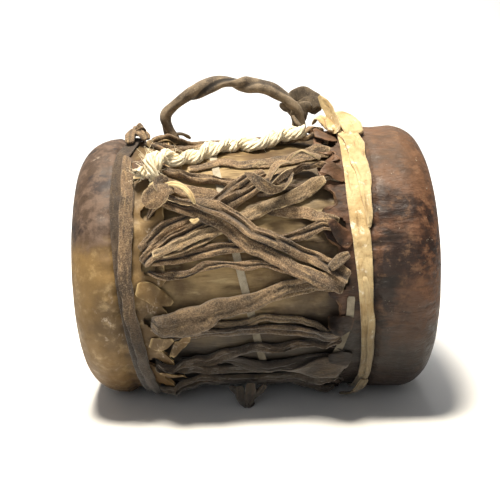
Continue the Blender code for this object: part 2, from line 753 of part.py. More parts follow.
def placed(folds):
    """A knot's folds with their middles and sizes in metres, in the part's own frame."""
    return [(on_drum(*middle), Vector(size) * MM, turn) for middle, size, turn in folds]


def make_handle():
    """The carrying loop: one strap twisted on itself, standing on its two feet behind the top laces."""
    stretch = (fitted(RIGHT_FOOT_X) - fitted(LEFT_FOOT_X)) / (RIGHT_FOOT_X - LEFT_FOOT_X)
    left_foot, right_foot = (
        shell_radius(fitted(x) * MM) / MM + FOOT_GAP * stretch - swell(x) for x in (LEFT_FOOT_X, RIGHT_FOOT_X)
    )
    loop = [(LEFT_FOOT_X, left_foot)] + HANDLE_LOOP + [(RIGHT_FOOT_X, right_foot)]
    spots = []
    for x, radius in loop:
        upright = max(0, (radius - HANDLE_BEND_AT) / HANDLE_BEND_OVER)
        spots.append(on_drum(x, HANDLE_LEAN + (90 - HANDLE_LEAN) * upright, radius))
    run = [0.0]
    for a, b in zip(spots, spots[1:]):
        run.append(run[-1] + (b - a).length)
    count = HANDLE_RINGS
    path = []
    for k in range(count + 1):
        at = run[-1] * k / count
        path.append(Vector([np.interp(at, run, [p[axis] for p in spots]) for axis in range(3)]))
    for _ in range(2):
        path = [path[0]] + [(a + b * 2 + c) / 4 for a, b, c in zip(path, path[1:], path[2:])] + [path[-1]]
    rings = []
    for k, middle in enumerate(path):
        ahead = (path[min(k + 1, count)] - path[max(k - 1, 0)]).normalized()
        across = ahead.cross(Vector((0, 1, 0))).normalized()
        out = across.cross(ahead)
        twist = 2 * pi * HANDLE_TWISTS * k / count
        ring = []
        for corner in range(HANDLE_CORNERS):
            turn = 2 * pi * corner / HANDLE_CORNERS
            flat = HANDLE_THICKNESS / 2 * cos(turn) * HANDLE_FLAT
            thin = HANDLE_THICKNESS / 2 * sin(turn) * HANDLE_THIN
            a = flat * cos(twist) - thin * sin(twist)
            b = flat * sin(twist) + thin * cos(twist)
            ring.append(middle + across * a + out * b)
        rings.append(ring)
    bm = bmesh.new()
    grid_tube(bm, rings)
    return knotted(finish("handle", bm, DARK_LEATHER), placed(HANDLE_KNOT))


def make_knot(name, relief, folds, look):
    """A knot on its own, lifted until it clears the laces: its first fold carries the others."""
    outward = DRUM.to_3x3() @ (DRUM.inverted() @ folds[0][0]).xyz
    outward = (outward - outward.project(DRUM.to_3x3() @ Vector((1, 0, 0)))).normalized()
    short = 0.0
    for middle, size, turn in folds:
        bm = lump(middle, size, turn)
        spots = [v.co for v in bm.verts] + [f.calc_center_median() for f in bm.faces]
        for spot in (DRUM.inverted() @ s for s in spots):
            under = relief.highest(spot.x, degrees(np.arctan2(spot.z, -spot.y)))
            short = max(short, float(under) + 3 * GAP - hypot(spot.y, spot.z))
        bm.free()
    folds = [(middle + outward * short, size, turn) for middle, size, turn in folds]
    middle, size, turn = folds[0]
    piece = finish(name, lump(middle, size, turn), look)
    return knotted(piece, folds[1:])


def centre_on_origin():
    """Puts the middle of the whole drum's outline over the origin, without changing its height."""
    bpy.context.view_layer.update()
    graph = bpy.context.evaluated_depsgraph_get()
    pieces = [o for o in bpy.context.scene.objects if o.type == "MESH"]
    corners = []
    for piece in pieces:
        if piece.hide_render:
            continue
        mesh = piece.evaluated_get(graph).to_mesh()
        corners += [piece.matrix_world @ v.co for v in mesh.vertices]
    shift = [-(min(c[axis] for c in corners) + max(c[axis] for c in corners)) / 2 for axis in (0, 1)]
    for piece in pieces:
        piece.location = (shift[0], shift[1], 0)


def main():
    for old in list(bpy.data.objects):
        bpy.data.objects.remove(old)
    make_shell()
    make_head(LEFT, "left_head", TAN_HIDE)
    make_head(RIGHT, "right_head", DARK_HIDE)
    relief = Relief()
    make_tapes(relief)
    for number, (route, widths) in enumerate(back_laces(), 1):
        lay(f"back_lace_{number:02d}", relief, route, widths, LACE_THICKNESS, SUEDE)
    for number, (route, widths) in enumerate(front_laces(), 1):
        lay(f"front_lace_{number:02d}", relief, route, widths, LACE_THICKNESS, SUEDE)
    make_rope(relief)
    lay("buckskin_strip", relief, STRIP_ROUTE, STRIP_WIDTHS, STRIP_THICKNESS, BUCKSKIN)
    make_handle()
    make_belt(LEFT, "left_belt", SUEDE, placed(LEFT_BELT_KNOT))
    make_belt(RIGHT, "right_belt", BUCKSKIN, placed(RIGHT_BELT_KNOT))
    make_knot("bow_knot", relief, placed(BOW), SUEDE)
    make_knot("hanging_knot", relief, placed(HANGING_KNOT), SUEDE)
    centre_on_origin()


main()
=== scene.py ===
"""Looks of a ceremonial log drum: two rawhide heads laced over a hollow log, with belts, rope and a handle.

The drum lies on its side. Points on it are given as (x in mm, degrees), x along its axis and the angle round
it from the front over the top. Every strap is laid in order over the height of what already lies there.
"""

from math import atan, cos, pi, radians, sin

import bmesh
import bpy
import numpy as np
from bpy.props import FloatProperty, FloatVectorProperty, IntProperty, PointerProperty
from mathutils import Matrix, Vector


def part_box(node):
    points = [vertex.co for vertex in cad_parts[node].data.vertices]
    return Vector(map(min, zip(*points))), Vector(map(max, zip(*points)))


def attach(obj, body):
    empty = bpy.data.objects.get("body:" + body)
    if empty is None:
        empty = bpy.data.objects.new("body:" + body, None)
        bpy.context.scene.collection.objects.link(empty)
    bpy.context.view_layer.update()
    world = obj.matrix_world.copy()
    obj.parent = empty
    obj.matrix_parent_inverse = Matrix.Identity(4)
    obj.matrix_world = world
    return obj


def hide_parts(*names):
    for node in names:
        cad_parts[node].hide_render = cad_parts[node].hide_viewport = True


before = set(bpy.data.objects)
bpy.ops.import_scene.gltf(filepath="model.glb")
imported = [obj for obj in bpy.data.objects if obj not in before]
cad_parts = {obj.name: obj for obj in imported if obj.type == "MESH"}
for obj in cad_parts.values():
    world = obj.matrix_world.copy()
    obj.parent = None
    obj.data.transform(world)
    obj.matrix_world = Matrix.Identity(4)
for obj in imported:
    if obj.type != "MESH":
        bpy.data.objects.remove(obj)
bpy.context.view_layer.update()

bl_info = {
    "name": "Laced log drum",
    "version": (1, 0, 0),
    "blender": (4, 5, 0),
    "location": "3D View > Sidebar > Drum",
    "description": "Builds a small two-headed drum with rawhide heads, suede lacing, belts, rope and handle",
    "category": "Object",
}

# Sizes that the frame fixes, in metres and degrees
MM = 0.001
LENGTH = 0.240
LEFT_RADIUS = 0.0907
RIGHT_RADIUS = 0.0950
RIM_LENGTH = 0.023
RIM_DROP = 0.024
HIDE = 0.0022
GAP = 0.0003
WALL = 0.014
WAIST_DROP = 0.0045
BELT_GROOVE = 0.0030
GROOVE_SLOPE = 0.005
FLAT_DEPTH = 0.0012
TAB_COUNT = 16
TAB_LENGTH = 0.019
HOLE_FROM_EDGE = 0.006
HOLE_LENGTH = 0.010
HOLE_WIDTH = 0.0084
LEFT, RIGHT = -1, 1
SCALLOP = {LEFT: 0.008, RIGHT: 0.015}
PHASE = {LEFT: -10.0, RIGHT: 4.0}
BELT_AT = {LEFT: 0.0380, RIGHT: 0.0520}
BELT_WIDTH = {LEFT: 0.0100, RIGHT: 0.0120}

HALF = LENGTH / 2
MEAN_RADIUS = (LEFT_RADIUS + RIGHT_RADIUS) / 2
SLOPE = atan((RIGHT_RADIUS - LEFT_RADIUS) / LENGTH)
AXIS_HEIGHT = MEAN_RADIUS * cos(SLOPE) - FLAT_DEPTH
AXIS_BACK = sum(corner.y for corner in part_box("shell")) / 2
DRUM = Matrix.Translation((0, AXIS_BACK, AXIS_HEIGHT)) @ Matrix.Rotation(-SLOPE, 4, "Y")
FLOOR_CLEARANCE = 0.0004


def linear(colour):
    """A colour given as an sRGB hex value, turned to the linear one that Blender works in."""
    parts = [int(colour[k : k + 2], 16) / 255 for k in (1, 3, 5)]
    return tuple(c / 12.92 if c <= 0.04045 else ((c + 0.055) / 1.055) ** 2.4 for c in parts)


def colour_property(name, description, colour):
    """A colour setting, given as an sRGB hex value."""
    return FloatVectorProperty(
        name=name, description=description, subtype="COLOR", size=3, min=0, max=1, default=linear(colour)
    )


def size_property(name, description, size):
    """A size setting in metres."""
    return FloatProperty(
        name=name, description=description, subtype="DISTANCE", unit="LENGTH", min=0, default=size
    )


class DrumSizes(bpy.types.PropertyGroup):
    """Sizes of what is laid on the frame."""

    sample: size_property("Strap spacing", "Distance between the rings of a laid strap", 0.0009)
    wrinkle: size_property("Hide wrinkle", "Height of the creases where a belt gathers the hide", 0.0015)
    tab_lift: size_property("Tab lift", "How far the dried tabs of the hide curl up at their edges", 0.0022)
    rope_strand: size_property("Rope strand", "Thickness of one strand of the white rope", 0.0062)
    rope_pitch: size_property("Rope pitch", "Length of one turn of the rope's strands", 0.030)
    handle_thickness: size_property("Handle thickness", "Thickness of the twisted carrying loop", 0.0100)
    tape_width: size_property("Tape width", "Width of the cotton tape", 0.0050)
    rounds: IntProperty(
        name="Segments", description="Faces round the shell and the heads", min=48, default=256
    )


class DrumColours(bpy.types.PropertyGroup):
    """Colours of the drum's finishes."""

    suede: colour_property("Suede", "Worn nap of the thongs", "#997C5C")
    suede_dark: colour_property("Suede, dark", "Greasy, flattened nap", "#483828")
    suede_pale: colour_property("Suede, cut edge", "Pale core at the cut edges of the thongs", "#C9B48C")
    tan_hide: colour_property("Tan hide", "Clean rawhide of the left head", "#84693F")
    tan_shade: colour_property("Tan hide, shade", "Smoked patches of the left head", "#5F4B2F")
    stain: colour_property("Stain", "Dark stain over the top of the left head", "#40322B")
    dark_hide: colour_property("Dark hide", "Body colour of the right head", "#5F412E")
    dark_shade: colour_property("Dark hide, shade", "Darkest patches of the right head", "#261711")
    scuff: colour_property("Scuff", "Dry, whitish scuffs on the hide", "#C9B9A4")
    buckskin: colour_property("Buckskin", "Pale belt and its knot", "#CDB78A")
    buckskin_shade: colour_property("Buckskin, shade", "Handled folds of the pale belt", "#9A7845")
    cotton: colour_property("Cotton", "Rope and tape", "#F4E9CC")
    cotton_shade: colour_property("Cotton, shade", "Dust between the rope's strands", "#BEA67A")
    shell: colour_property("Shell", "Skin-covered log between the laces", "#9F875D")
    shell_shade: colour_property("Shell, shade", "Smoked streaks on the log", "#594326")
    leather: colour_property("Handle", "Twisted strap of the handle", "#7F6F5A")
    leather_dark: colour_property("Handle, dark", "Folds of the handle", "#43382D")
    floor: colour_property("Floor", "Plain pale floor", "#F4F3F1")


def sizes():
    """The sizes set in the sidebar."""
    return bpy.context.scene.drum_sizes


def colours():
    """The colours set in the sidebar."""
    return bpy.context.scene.drum_colours


# Places on the drum


def cone_radius(x):
    """Outer radius of the drum at x, before its grooves."""
    return MEAN_RADIUS + (RIGHT_RADIUS - LEFT_RADIUS) * x / LENGTH


def belt_x(side):
    """The x of the middle of a belt."""
    return side * (HALF - BELT_AT[side])


def groove(side):
    """The x where the rim's straight stretch ends, and the two ends of the belt's seat."""
    seat = BELT_WIDTH[side] / 2
    return [belt_x(side) + side * reach for reach in (seat + GROOVE_SLOPE, seat, -seat)]


def tab_edge(side):
    """The x that the longest tabs of a head reach."""
    return belt_x(side) - side * (BELT_WIDTH[side] * 0.6 + TAB_LENGTH)


def hole_middle(side):
    """The x of the middle of the lacing holes."""
    return tab_edge(side) + side * (HOLE_FROM_EDGE + HOLE_LENGTH / 2)


def tied(side, hole, strand=0):
    """The route point in a lacing hole; two strands share a hole side by side."""
    return (hole_middle(side) / MM, PHASE[side] + 360.0 / TAB_COUNT * hole + strand * 1.6)


def to_frame(x, turn, radius):
    """Points of the drum, given as arrays in metres and radians, in the frame's own axes."""
    x, turn, radius = np.broadcast_arrays(x, turn, radius)
    y, z = -radius * np.cos(turn), radius * np.sin(turn)
    return np.stack(
        [
            x * cos(SLOPE) - z * sin(SLOPE),
            y + AXIS_BACK,
            x * sin(SLOPE) + z * cos(SLOPE) + AXIS_HEIGHT,
        ],
        axis=-1,
    )


def ripples(seed, x, turn, along, around, count=7):
    """Seeded waves over the drum, about -1 to 1: along in waves a metre, around in whole waves a turn."""
    rng = np.random.default_rng(seed)
    total = np.zeros(np.broadcast(x, turn).shape)
    for _ in range(count):
        k = rng.uniform(-along, along)
        m = int(rng.integers(max(1, around // 3), around + 1))
        total += np.sin(2 * pi * k * x + m * turn * rng.choice([-1, 1]) + rng.uniform(0, 2 * pi))
    return total / count**0.5


def wander(rng, run, wavelength):
    """A seeded line that strays slowly from -1 to 1 along a run in metres."""
    total = np.zeros(len(run))
    for k in (0.6, 1.0, 1.7):
        total += np.sin(2 * pi * run * k / wavelength * rng.uniform(0.8, 1.2) + rng.uniform(0, 2 * pi))
    return total / 2


def away_from_hole(side, turn):
    """Angle to the nearest lacing hole, in degrees."""
    pitch = 360.0 / TAB_COUNT
    return np.abs((np.degrees(turn) - PHASE[side] + pitch / 2) % pitch - pitch / 2)


def shell_surface(x, turn):
    """Radius of the log: waisted, grooved under the belts and a little uneven."""
    depth = np.zeros(np.broadcast(x, turn).shape)
    for side in (LEFT, RIGHT):
        start, outer, inner = groove(side)
        places = [abs(belt_x(side)) - BELT_WIDTH[side], abs(inner), abs(outer), abs(start)]
        profile = np.interp(np.abs(x), places, [WAIST_DROP, BELT_GROOVE, BELT_GROOVE, 0.0])
        depth = np.where(x * side > 0, profile, depth)
    depth = np.where(np.abs(x) < 0.02, WAIST_DROP, depth)
    uneven = 0.0004 * ripples(11, x, turn, 9, 9) + 0.00015 * ripples(12, x, turn, 40, 50)
    return cone_radius(x) - HIDE - GAP - depth + uneven


def tab_line(side, turn):
    """The x of the torn edge of the tabs."""
    off = away_from_hole(side, turn) / (180.0 / TAB_COUNT)
    scallop = SCALLOP[side] * (0.5 - 0.5 * np.cos(pi * np.clip((off - 0.35) / 0.5, 0, 1)))
    scallop *= 0.8 + 0.3 * ripples(27 + side, 0 * turn, turn, 0, 5, 3)
    torn = 0.0011 * ripples(21 + side, 0 * turn, turn, 0, 41)
    torn = torn + 0.0006 * ripples(24 + side, 0 * turn, turn, 0, 140)
    return tab_edge(side) + side * (scallop + torn)


def skirt_surface(side, x, turn):
    """Outer radius of a head's skirt: creased by the belt, and its tabs springing up towards their edges."""
    start, outer, inner = groove(side)
    places = [abs(tab_edge(side)), abs(inner), abs(outer), abs(start)]
    drop = np.interp(np.abs(x), places, [HIDE * 0.8, BELT_GROOVE, BELT_GROOVE, 0.0])
    near_belt = np.exp(-((np.abs(x) - abs(belt_x(side)) - 0.004) / 0.013) ** 2)
    folds = np.abs(ripples(31 + side, x, turn, 12, 28, 5))
    creased = (np.clip(folds, 0, 1.4) - 0.7) * near_belt
    free = np.clip((abs(inner) - np.abs(x)) / TAB_LENGTH, 0, 1)
    curl = sizes().tab_lift * free**2 * (0.6 + 0.8 * ripples(41 + side, x, turn, 3, 17, 5))
    return cone_radius(x) - drop + sizes().wrinkle * creased + np.maximum(curl, -0.0006 * free)


def in_hole(side, x, turn):
    """Below 1 inside a lacing hole, which is a torn slit with round ends."""
    across = np.radians(away_from_hole(side, turn)) * MEAN_RADIUS
    return ((x - hole_middle(side)) / (HOLE_LENGTH / 2)) ** 2 + (across / (HOLE_WIDTH / 2)) ** 2


class Ground:
    """The height of the drum and of everything laid on it so far, over x and the angle."""

    CELL = 0.0005
    TURN = 0.3

    def __init__(self):
        self.xs = np.arange(-HALF, HALF + self.CELL, self.CELL)
        self.turns = np.arange(0, 360, self.TURN)
        x, turn = np.meshgrid(self.xs, np.radians(self.turns), indexing="ij")
        self.height = shell_surface(x, turn)
        for side in (LEFT, RIGHT):
            covered = (np.abs(x) > np.abs(tab_line(side, turn))) & (x * side > 0)
            covered &= in_hole(side, x, turn) > 1
            hide = skirt_surface(side, x, turn) + 0.0001
            self.height = np.where(covered, np.maximum(self.height, hide), self.height)

    def cell(self, x, turn):
        """The row and column of points."""
        i = np.clip(np.rint((x + HALF) / self.CELL).astype(int), 0, len(self.xs) - 1)
        j = np.rint((np.degrees(turn) % 360) / self.TURN).astype(int) % len(self.turns)
        return i, j

    def at(self, x, turn):
        """The height under points."""
        return self.height[self.cell(x, turn)]

    def raise_to(self, x, turn, radius):
        """Stamps a grid of points, drawn out finely enough to leave no cell between them."""
        for axis in (0, 1):
            x, turn, radius = (finer(values, axis) for values in (x, turn, radius))
        np.maximum.at(self.height, self.cell(x, turn), radius)


def finer(values, axis, times=3):
    """A grid with points added between its own along one axis."""
    count = values.shape[axis]
    at = np.linspace(0, count - 1, (count - 1) * times + 1)
    low = np.clip(at.astype(int), 0, count - 2)
    share = at - low
    first, second = np.take(values, low, axis), np.take(values, low + 1, axis)
    share = share[:, None] if axis == 0 else share[None, :]
    return first + (second - first) * share


def drape(under, reach, closed):
    """Lifts each line of a strap to its neighbours' level and rounds it off."""
    for step in (np.max, np.mean):
        padded = np.pad(under, ((reach, reach), (0, 0)), mode="wrap" if closed else "edge")
        under = step([padded[k : k + len(under)] for k in range(2 * reach + 1)], axis=0)
    return under


def smooth_route(points, widths, spacing):
    """Samples a smooth curve through (x in mm, degrees) points, as x, arc length round the drum and width."""
    px = np.array([p[0] * MM for p in points])
    pa = np.array([radians(p[1]) * MEAN_RADIUS for p in points])
    pw = np.interp(np.linspace(0, 1, len(points)), np.linspace(0, 1, len(widths)), widths) * MM
    run = np.concatenate([[0], np.cumsum(np.hypot(np.diff(px), np.diff(pa)))])
    at = np.linspace(0, run[-1], max(int(run[-1] / spacing), 5))
    return hermite(px, run, at), hermite(pa, run, at), np.interp(at, run, pw)


def hermite(values, run, at):
    """A smooth line through values that stand at run, read off at the given places."""
    slopes = np.gradient(values, run, axis=0)
    k = np.clip(np.searchsorted(run, at, side="right") - 1, 0, len(run) - 2)
    span = run[k + 1] - run[k]
    t = (at - run[k]) / span
    if values.ndim > 1:
        span, t = span[:, None], t[:, None]
    a = (2 * t**3 - 3 * t**2 + 1) * values[k] + (t**3 - 2 * t**2 + t) * span * slopes[k]
    b = (3 * t**2 - 2 * t**3) * values[k + 1] + (t**3 - t**2) * span * slopes[k + 1]
    return a + b


# Meshes


def grid_tube(bm, rings, layers, closed=False):
    """A tube through rings of points: a grid rolled up, its ends filled or joined, its layers set."""
    count, corners = rings.shape[:2]
    rows = count if closed else count - 1
    for name in layers:
        bm.verts.layers.float.new(name)
    made = bmesh.ops.create_grid(bm, x_segments=corners, y_segments=rows, size=1)["verts"]
    made.sort(key=lambda v: (round(v.co.y, 6), round(v.co.x, 6)))
    stores = {name: bm.verts.layers.float[name] for name in layers}
    for index, vertex in enumerate(made):
        row, column = divmod(index, corners + 1)
        row, column = row % count, column % corners
        vertex.co = rings[row, column]
        for name, values in layers.items():
            vertex[stores[name]] = float(values[row, column])
    bmesh.ops.remove_doubles(bm, verts=made, dist=1e-7)
    if not closed:
        edges = [e for e in bm.edges if e.is_boundary]
        bmesh.ops.holes_fill(bm, edges=edges, sides=corners)


def settle_mesh(bm, name, kind, nodes=(), smooth_angle=60, lowest=FLOOR_CLEARANCE):
    """Puts a finished mesh on an object of the drum, with its faces outwards and clear of the floor."""
    for vertex in bm.verts:
        vertex.co.z = max(vertex.co.z, lowest)
    bmesh.ops.recalc_face_normals(bm, faces=bm.faces)
    if bm.calc_volume(signed=True) < 0:
        bmesh.ops.reverse_faces(bm, faces=bm.faces)
    mesh = bpy.data.meshes.new(name)
    bm.to_mesh(mesh)
    bm.free()
    mesh.shade_smooth()
    mesh.set_sharp_from_angle(angle=radians(smooth_angle))
    piece = bpy.data.objects.new(name, mesh)
    bpy.context.scene.collection.objects.link(piece)
    mesh.materials.append(look_of(kind))
    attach(piece, "root")
    if nodes:
        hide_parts(*nodes)
    return piece


# A thong's habit: thickness in mm, depth of the fold down its middle, paleness of its cut edges, tone, turns
PLAIN = (3.1, 0.38, 0.40, 0.0, 0.0)
DOUBLE = (4.1, 0.66, 0.35, 0.15, 0.0)
DARK = (2.4, 0.35, 0.05, -0.7, 1.0)
FLAT = (1.8, 0.12, 0.65, 0.1, 0.0)
PALE = (2.5, 0.35, 1.00, 0.5, 0.0)
TURNED = (3.7, 0.42, 0.25, 0.1, 2.5)
ROLLED = (4.6, 0.22, 0.15, 0.25, 0.0)
BELT = (2.8, 0.15, 0.10, -0.85, 0.0)
THIN_BELT = (2.4, 0.10, 0.25, -0.35, 0.0)
CREAM = (2.6, 0.10, 0.3, 0.0, 0.0)
CREAM_FOLD = (2.8, 0.12, 0.5, 0.1, 0.0)
CREAM_STRAND = (1.8, 0.10, 0.3, 0.0, 0.0)
TAPE = (0.8, 0.05, 0.0, 0.0, 0.0)
SKIN = (1.1, 0.05, 0.60, 0.0, 0.0)

# Points round a strap, points across the ground under it, and distance between a ribbon's rings in metres
CORNERS = 18
COLUMNS = 11
RIBBON_STEP = 0.0009


def strap_rings(ground, route, widths, habit, seed, closed=False, lift=(0.0, 0.0), stiff=0.5, bulge=0.0):
    """Rings and surface layers of a strap laid over the ground, which it then raises."""
    thick, fold, pale, tone, turns = habit
    thick *= MM
    rng = np.random.default_rng(seed)
    x, arc, width = smooth_route(route, widths, sizes().sample)
    count = len(x)
    run = np.arange(count) * sizes().sample
    if not closed:
        inner = np.clip(np.minimum(run, run[::-1]) / 0.012, 0, 1)
        x = x + 0.0005 * wander(rng, run, 0.04) * inner
        arc = arc + 0.0006 * wander(rng, run, 0.03) * inner
        width = width * (1 + 0.045 * wander(rng, run, 0.022))
    spin = 2 * pi * turns * run / max(run[-1], 0.001) + rng.uniform(0, pi)
    narrow = 1 - 0.38 * np.sin(spin) ** 2 * min(turns, 1)
    width = width * narrow
    along = np.hypot(np.gradient(x), np.gradient(arc))
    side_x, side_arc = -np.gradient(arc) / along, np.gradient(x) / along

    share = np.linspace(-1, 1, COLUMNS)
    reach = share[None, :] * width[:, None] / 2
    grid_x = x[:, None] + side_x[:, None] * reach
    grid_arc = arc[:, None] + side_arc[:, None] * reach
    under = ground.at(grid_x, grid_arc / MEAN_RADIUS)
    near, far = drape(under, 3, closed), drape(under, 8, closed)
    slack = 0 if closed else np.clip((np.minimum(run, run[::-1]) - 0.010) / 0.012, 0, 1)[:, None]
    base = near + (np.maximum(far, near) - near) * slack
    level = base.mean(axis=1, keepdims=True) * 0.5 + base.max(axis=1, keepdims=True) * 0.5
    tilt = (base[:, -1:] - base[:, :1]) / 2 * share[None, :]
    flat = base.mean(axis=1, keepdims=True) + tilt
    flat += np.maximum(base - flat, 0).max(axis=1, keepdims=True) * 0.6
    base = np.maximum(base * (1 - stiff) + np.minimum(flat, level + 0.002) * stiff, near - 0.0002)
    for _ in range(2):
        base = drape_lightly(base)
    ends = np.minimum(run, run[::-1])
    if not closed:
        first = np.clip(1 - run / 0.014, 0, 1) ** 2 * lift[0] * MM
        last = np.clip(1 - run[::-1] / 0.014, 0, 1) ** 2 * lift[1] * MM
        base = base + (first + last)[:, None]

    height = thick * (1 + 0.12 * wander(rng, run, 0.022)) * (1 + (1 / narrow - 1) * 0.8)
    height = height + np.clip(width - 0.010, 0, 0.006) * bulge
    if not closed:
        height = height * (0.55 + 0.45 * np.clip(ends / 0.0025, 0, 1) ** 0.5)
    turn = 2 * pi * (np.arange(CORNERS) + 0.5) / CORNERS
    c, s = np.cos(turn), np.sin(turn)
    up = 0.5 + 0.5 * np.sign(s) * np.abs(s) ** np.where(s > 0, 0.52, 0.35)
    middle = 0.30 * wander(rng, run, 0.08) + 0.25 * np.sin(spin) * min(turns, 1)
    second = middle + 0.75
    dip = np.exp(-(((c[None, :] - middle[:, None]) / 0.26) ** 2))
    dip2 = 0.45 * np.exp(-(((c[None, :] - second[:, None]) / 0.18) ** 2))
    hollow = np.clip(dip + dip2, 0, 1) * (s > 0)
    wear = 0.045 * np.stack([wander(rng, run, 0.006) for _ in range(CORNERS)], axis=1)
    up = up[None, :] * (1 - fold * hollow) * (1 + wear)
    off = c[None, :] * width[:, None] / 2
    if not closed:
        blunt = np.clip(ends / 0.0022, 0, 1)[:, None]
        off = off * (0.72 + 0.28 * blunt**0.5)
    base_at = np.stack([np.interp(c, share, line) for line in base])
    ring_x = x[:, None] + side_x[:, None] * off
    ring_turn = (arc[:, None] + side_arc[:, None] * off) / MEAN_RADIUS
    rings = to_frame(ring_x, ring_turn, base_at + height[:, None] * up + 0.0002)

    top = base + height[:, None] * 0.72
    ground.raise_to(grid_x, grid_arc / MEAN_RADIUS, top)
    worn = np.clip(0.5 + wander(rng, run, 0.01), 0, 1)[:, None]
    edge = np.clip((np.abs(c) - 0.80) / 0.2, 0, 1)[None, :] * worn
    cut = np.zeros((count, 1)) if closed else (1 - np.clip(ends / 0.0016, 0, 1))[:, None]
    whole = np.ones((count, CORNERS))
    layers = {
        "pale": np.clip(edge * pale + cut * pale * 1.2, 0, 1) * whole,
        # The hollow layer marks the fold down a strap's middle and its underside, where the finishes paint
        # shade
        "hollow": np.clip(hollow * fold * 1.3 + (s < -0.2) * 0.7, 0, 1) * whole,
        "tone": tone * whole,
        "along": run[:, None] * whole,
        "across": off * whole,
    }
    return rings, layers


def drape_lightly(base):
    """Evens a strap's underside out a little, across it."""
    padded = np.pad(base, ((0, 0), (1, 1)), mode="edge")
    return padded[:, :-2] * 0.25 + base * 0.5 + padded[:, 2:] * 0.25


def lay_strap(name, route, widths, habit, seed, kind, nodes=(), **ways):
    """One strap laid on the drum, as a piece."""
    rings, layers = strap_rings(ground(), route, widths, habit, seed, **ways)
    if ways.get("closed"):
        rings, layers = rings[:-1], {key: values[:-1] for key, values in layers.items()}
    bm = bmesh.new()
    grid_tube(bm, rings, layers, ways.get("closed", False))
    return settle_mesh(bm, name, kind, nodes)


def ribbon_rings(points, widths, thick, seed, roll=(0, 0), cup=0.0, fold=0.4, pale=0.3, tone=0.0):
    """Rings of a free ribbon through (x in mm, degrees, radius in mm) points, rolled about its own length."""
    rng = np.random.default_rng(seed)
    places = np.array([(p[0] * MM, radians(p[1]), p[2] * MM) for p in points])
    spots = to_frame(places[:, 0], places[:, 1], places[:, 2])
    run = np.concatenate([[0], np.cumsum(np.linalg.norm(np.diff(spots, axis=0), axis=1))])
    at = np.linspace(0, run[-1], max(int(run[-1] / RIBBON_STEP), 6))
    middle = hermite(spots, run, at)
    width = np.interp(np.linspace(0, 1, len(at)), np.linspace(0, 1, len(widths)), widths) * MM
    width = width * (1 + 0.08 * wander(rng, at, 0.015))
    ahead = np.gradient(middle, axis=0)
    ahead /= np.linalg.norm(ahead, axis=1, keepdims=True)
    turn = np.interp(at, run, places[:, 1])
    outward = to_frame(0 * turn, turn, 1 + 0 * turn) - to_frame(0 * turn, turn, 0 * turn)
    side = np.cross(ahead, outward)
    side /= np.maximum(np.linalg.norm(side, axis=1, keepdims=True), 1e-6)
    up = np.cross(side, ahead)
    lean = np.radians(np.interp(np.linspace(0, 1, len(at)), np.linspace(0, 1, len(roll)), roll))[:, None]
    side, up = side * np.cos(lean) + up * np.sin(lean), up * np.cos(lean) - side * np.sin(lean)
    corner = 2 * pi * (np.arange(CORNERS) + 0.5) / CORNERS
    c, s = np.cos(corner), np.sin(corner)
    rise = np.sign(s) * np.abs(s) ** 0.6 * 0.5
    dip = np.exp(-(((c[None, :] - 0.3 * wander(rng, at, 0.03)[:, None]) / 0.3) ** 2)) * (s > 0)
    ends = np.minimum(at, at[::-1])
    blunt = np.clip(ends / 0.002, 0, 1)[:, None]
    off = c[None, :] * width[:, None] / 2 * (0.7 + 0.3 * blunt)
    wear = 1 + 0.08 * np.stack([wander(rng, at, 0.006) for _ in range(CORNERS)], axis=1)
    lift = rise[None, :] * thick * MM * (0.6 + 0.4 * blunt) * (1 - fold * dip) * wear
    lift = lift + cup * c[None, :] ** 2 * width[:, None] / 2
    rings = middle[:, None, :] + side[:, None, :] * off[..., None] + up[:, None, :] * lift[..., None]
    whole = np.ones((len(at), CORNERS))
    layers = {
        "pale": np.clip((np.abs(c) - 0.8) / 0.2, 0, 1)[None, :] * pale * whole,
        # The hollow layer marks the fold down a ribbon's middle and its underside, where the finishes paint
        # shade
        "hollow": np.clip(dip * fold * 1.3 + (s < 0)[None, :] * 0.4, 0, 1) * whole,
        "tone": tone * whole,
        "along": at[:, None] * whole,
        "across": off * whole,
    }
    return rings, layers


def ribbons(name, parts, kind, nodes=()):
    """One piece made of several free ribbons, each given as (points, widths, thickness, settings)."""
    bm = bmesh.new()
    for index, (points, widths, thick, ways) in enumerate(parts):
        part = bmesh.new()
        rings, layers = ribbon_rings(points, widths, thick, 700 + index + len(name), **ways)
        grid_tube(part, rings, layers)
        add_to(bm, part)
    return settle_mesh(bm, name, kind, nodes)


def add_to(bm, part):
    """Adds a mesh, with its layers, to another one."""
    mesh = bpy.data.meshes.new("part")
    part.to_mesh(mesh)
    part.free()
    bm.from_mesh(mesh)
    bpy.data.meshes.remove(mesh)


# Materials

# Threads of the tape are drawn 1.2 mm apart, twice as coarse as real ones, so that the weave shows
THREADS = 0.0012


def add(tree, kind, inputs=(), out=0, **settings):
    """Adds a node with its settings, its inputs' values and links, and gives one of its outputs."""
    node = tree.nodes.new("ShaderNode" + kind)
    for name, value in settings.items():
        setattr(node, name, value)
    for key, value in dict(inputs).items():
        if isinstance(value, bpy.types.NodeSocket):
            tree.links.new(value, node.inputs[key])
        else:
            node.inputs[key].default_value = value
    return node.outputs[out]


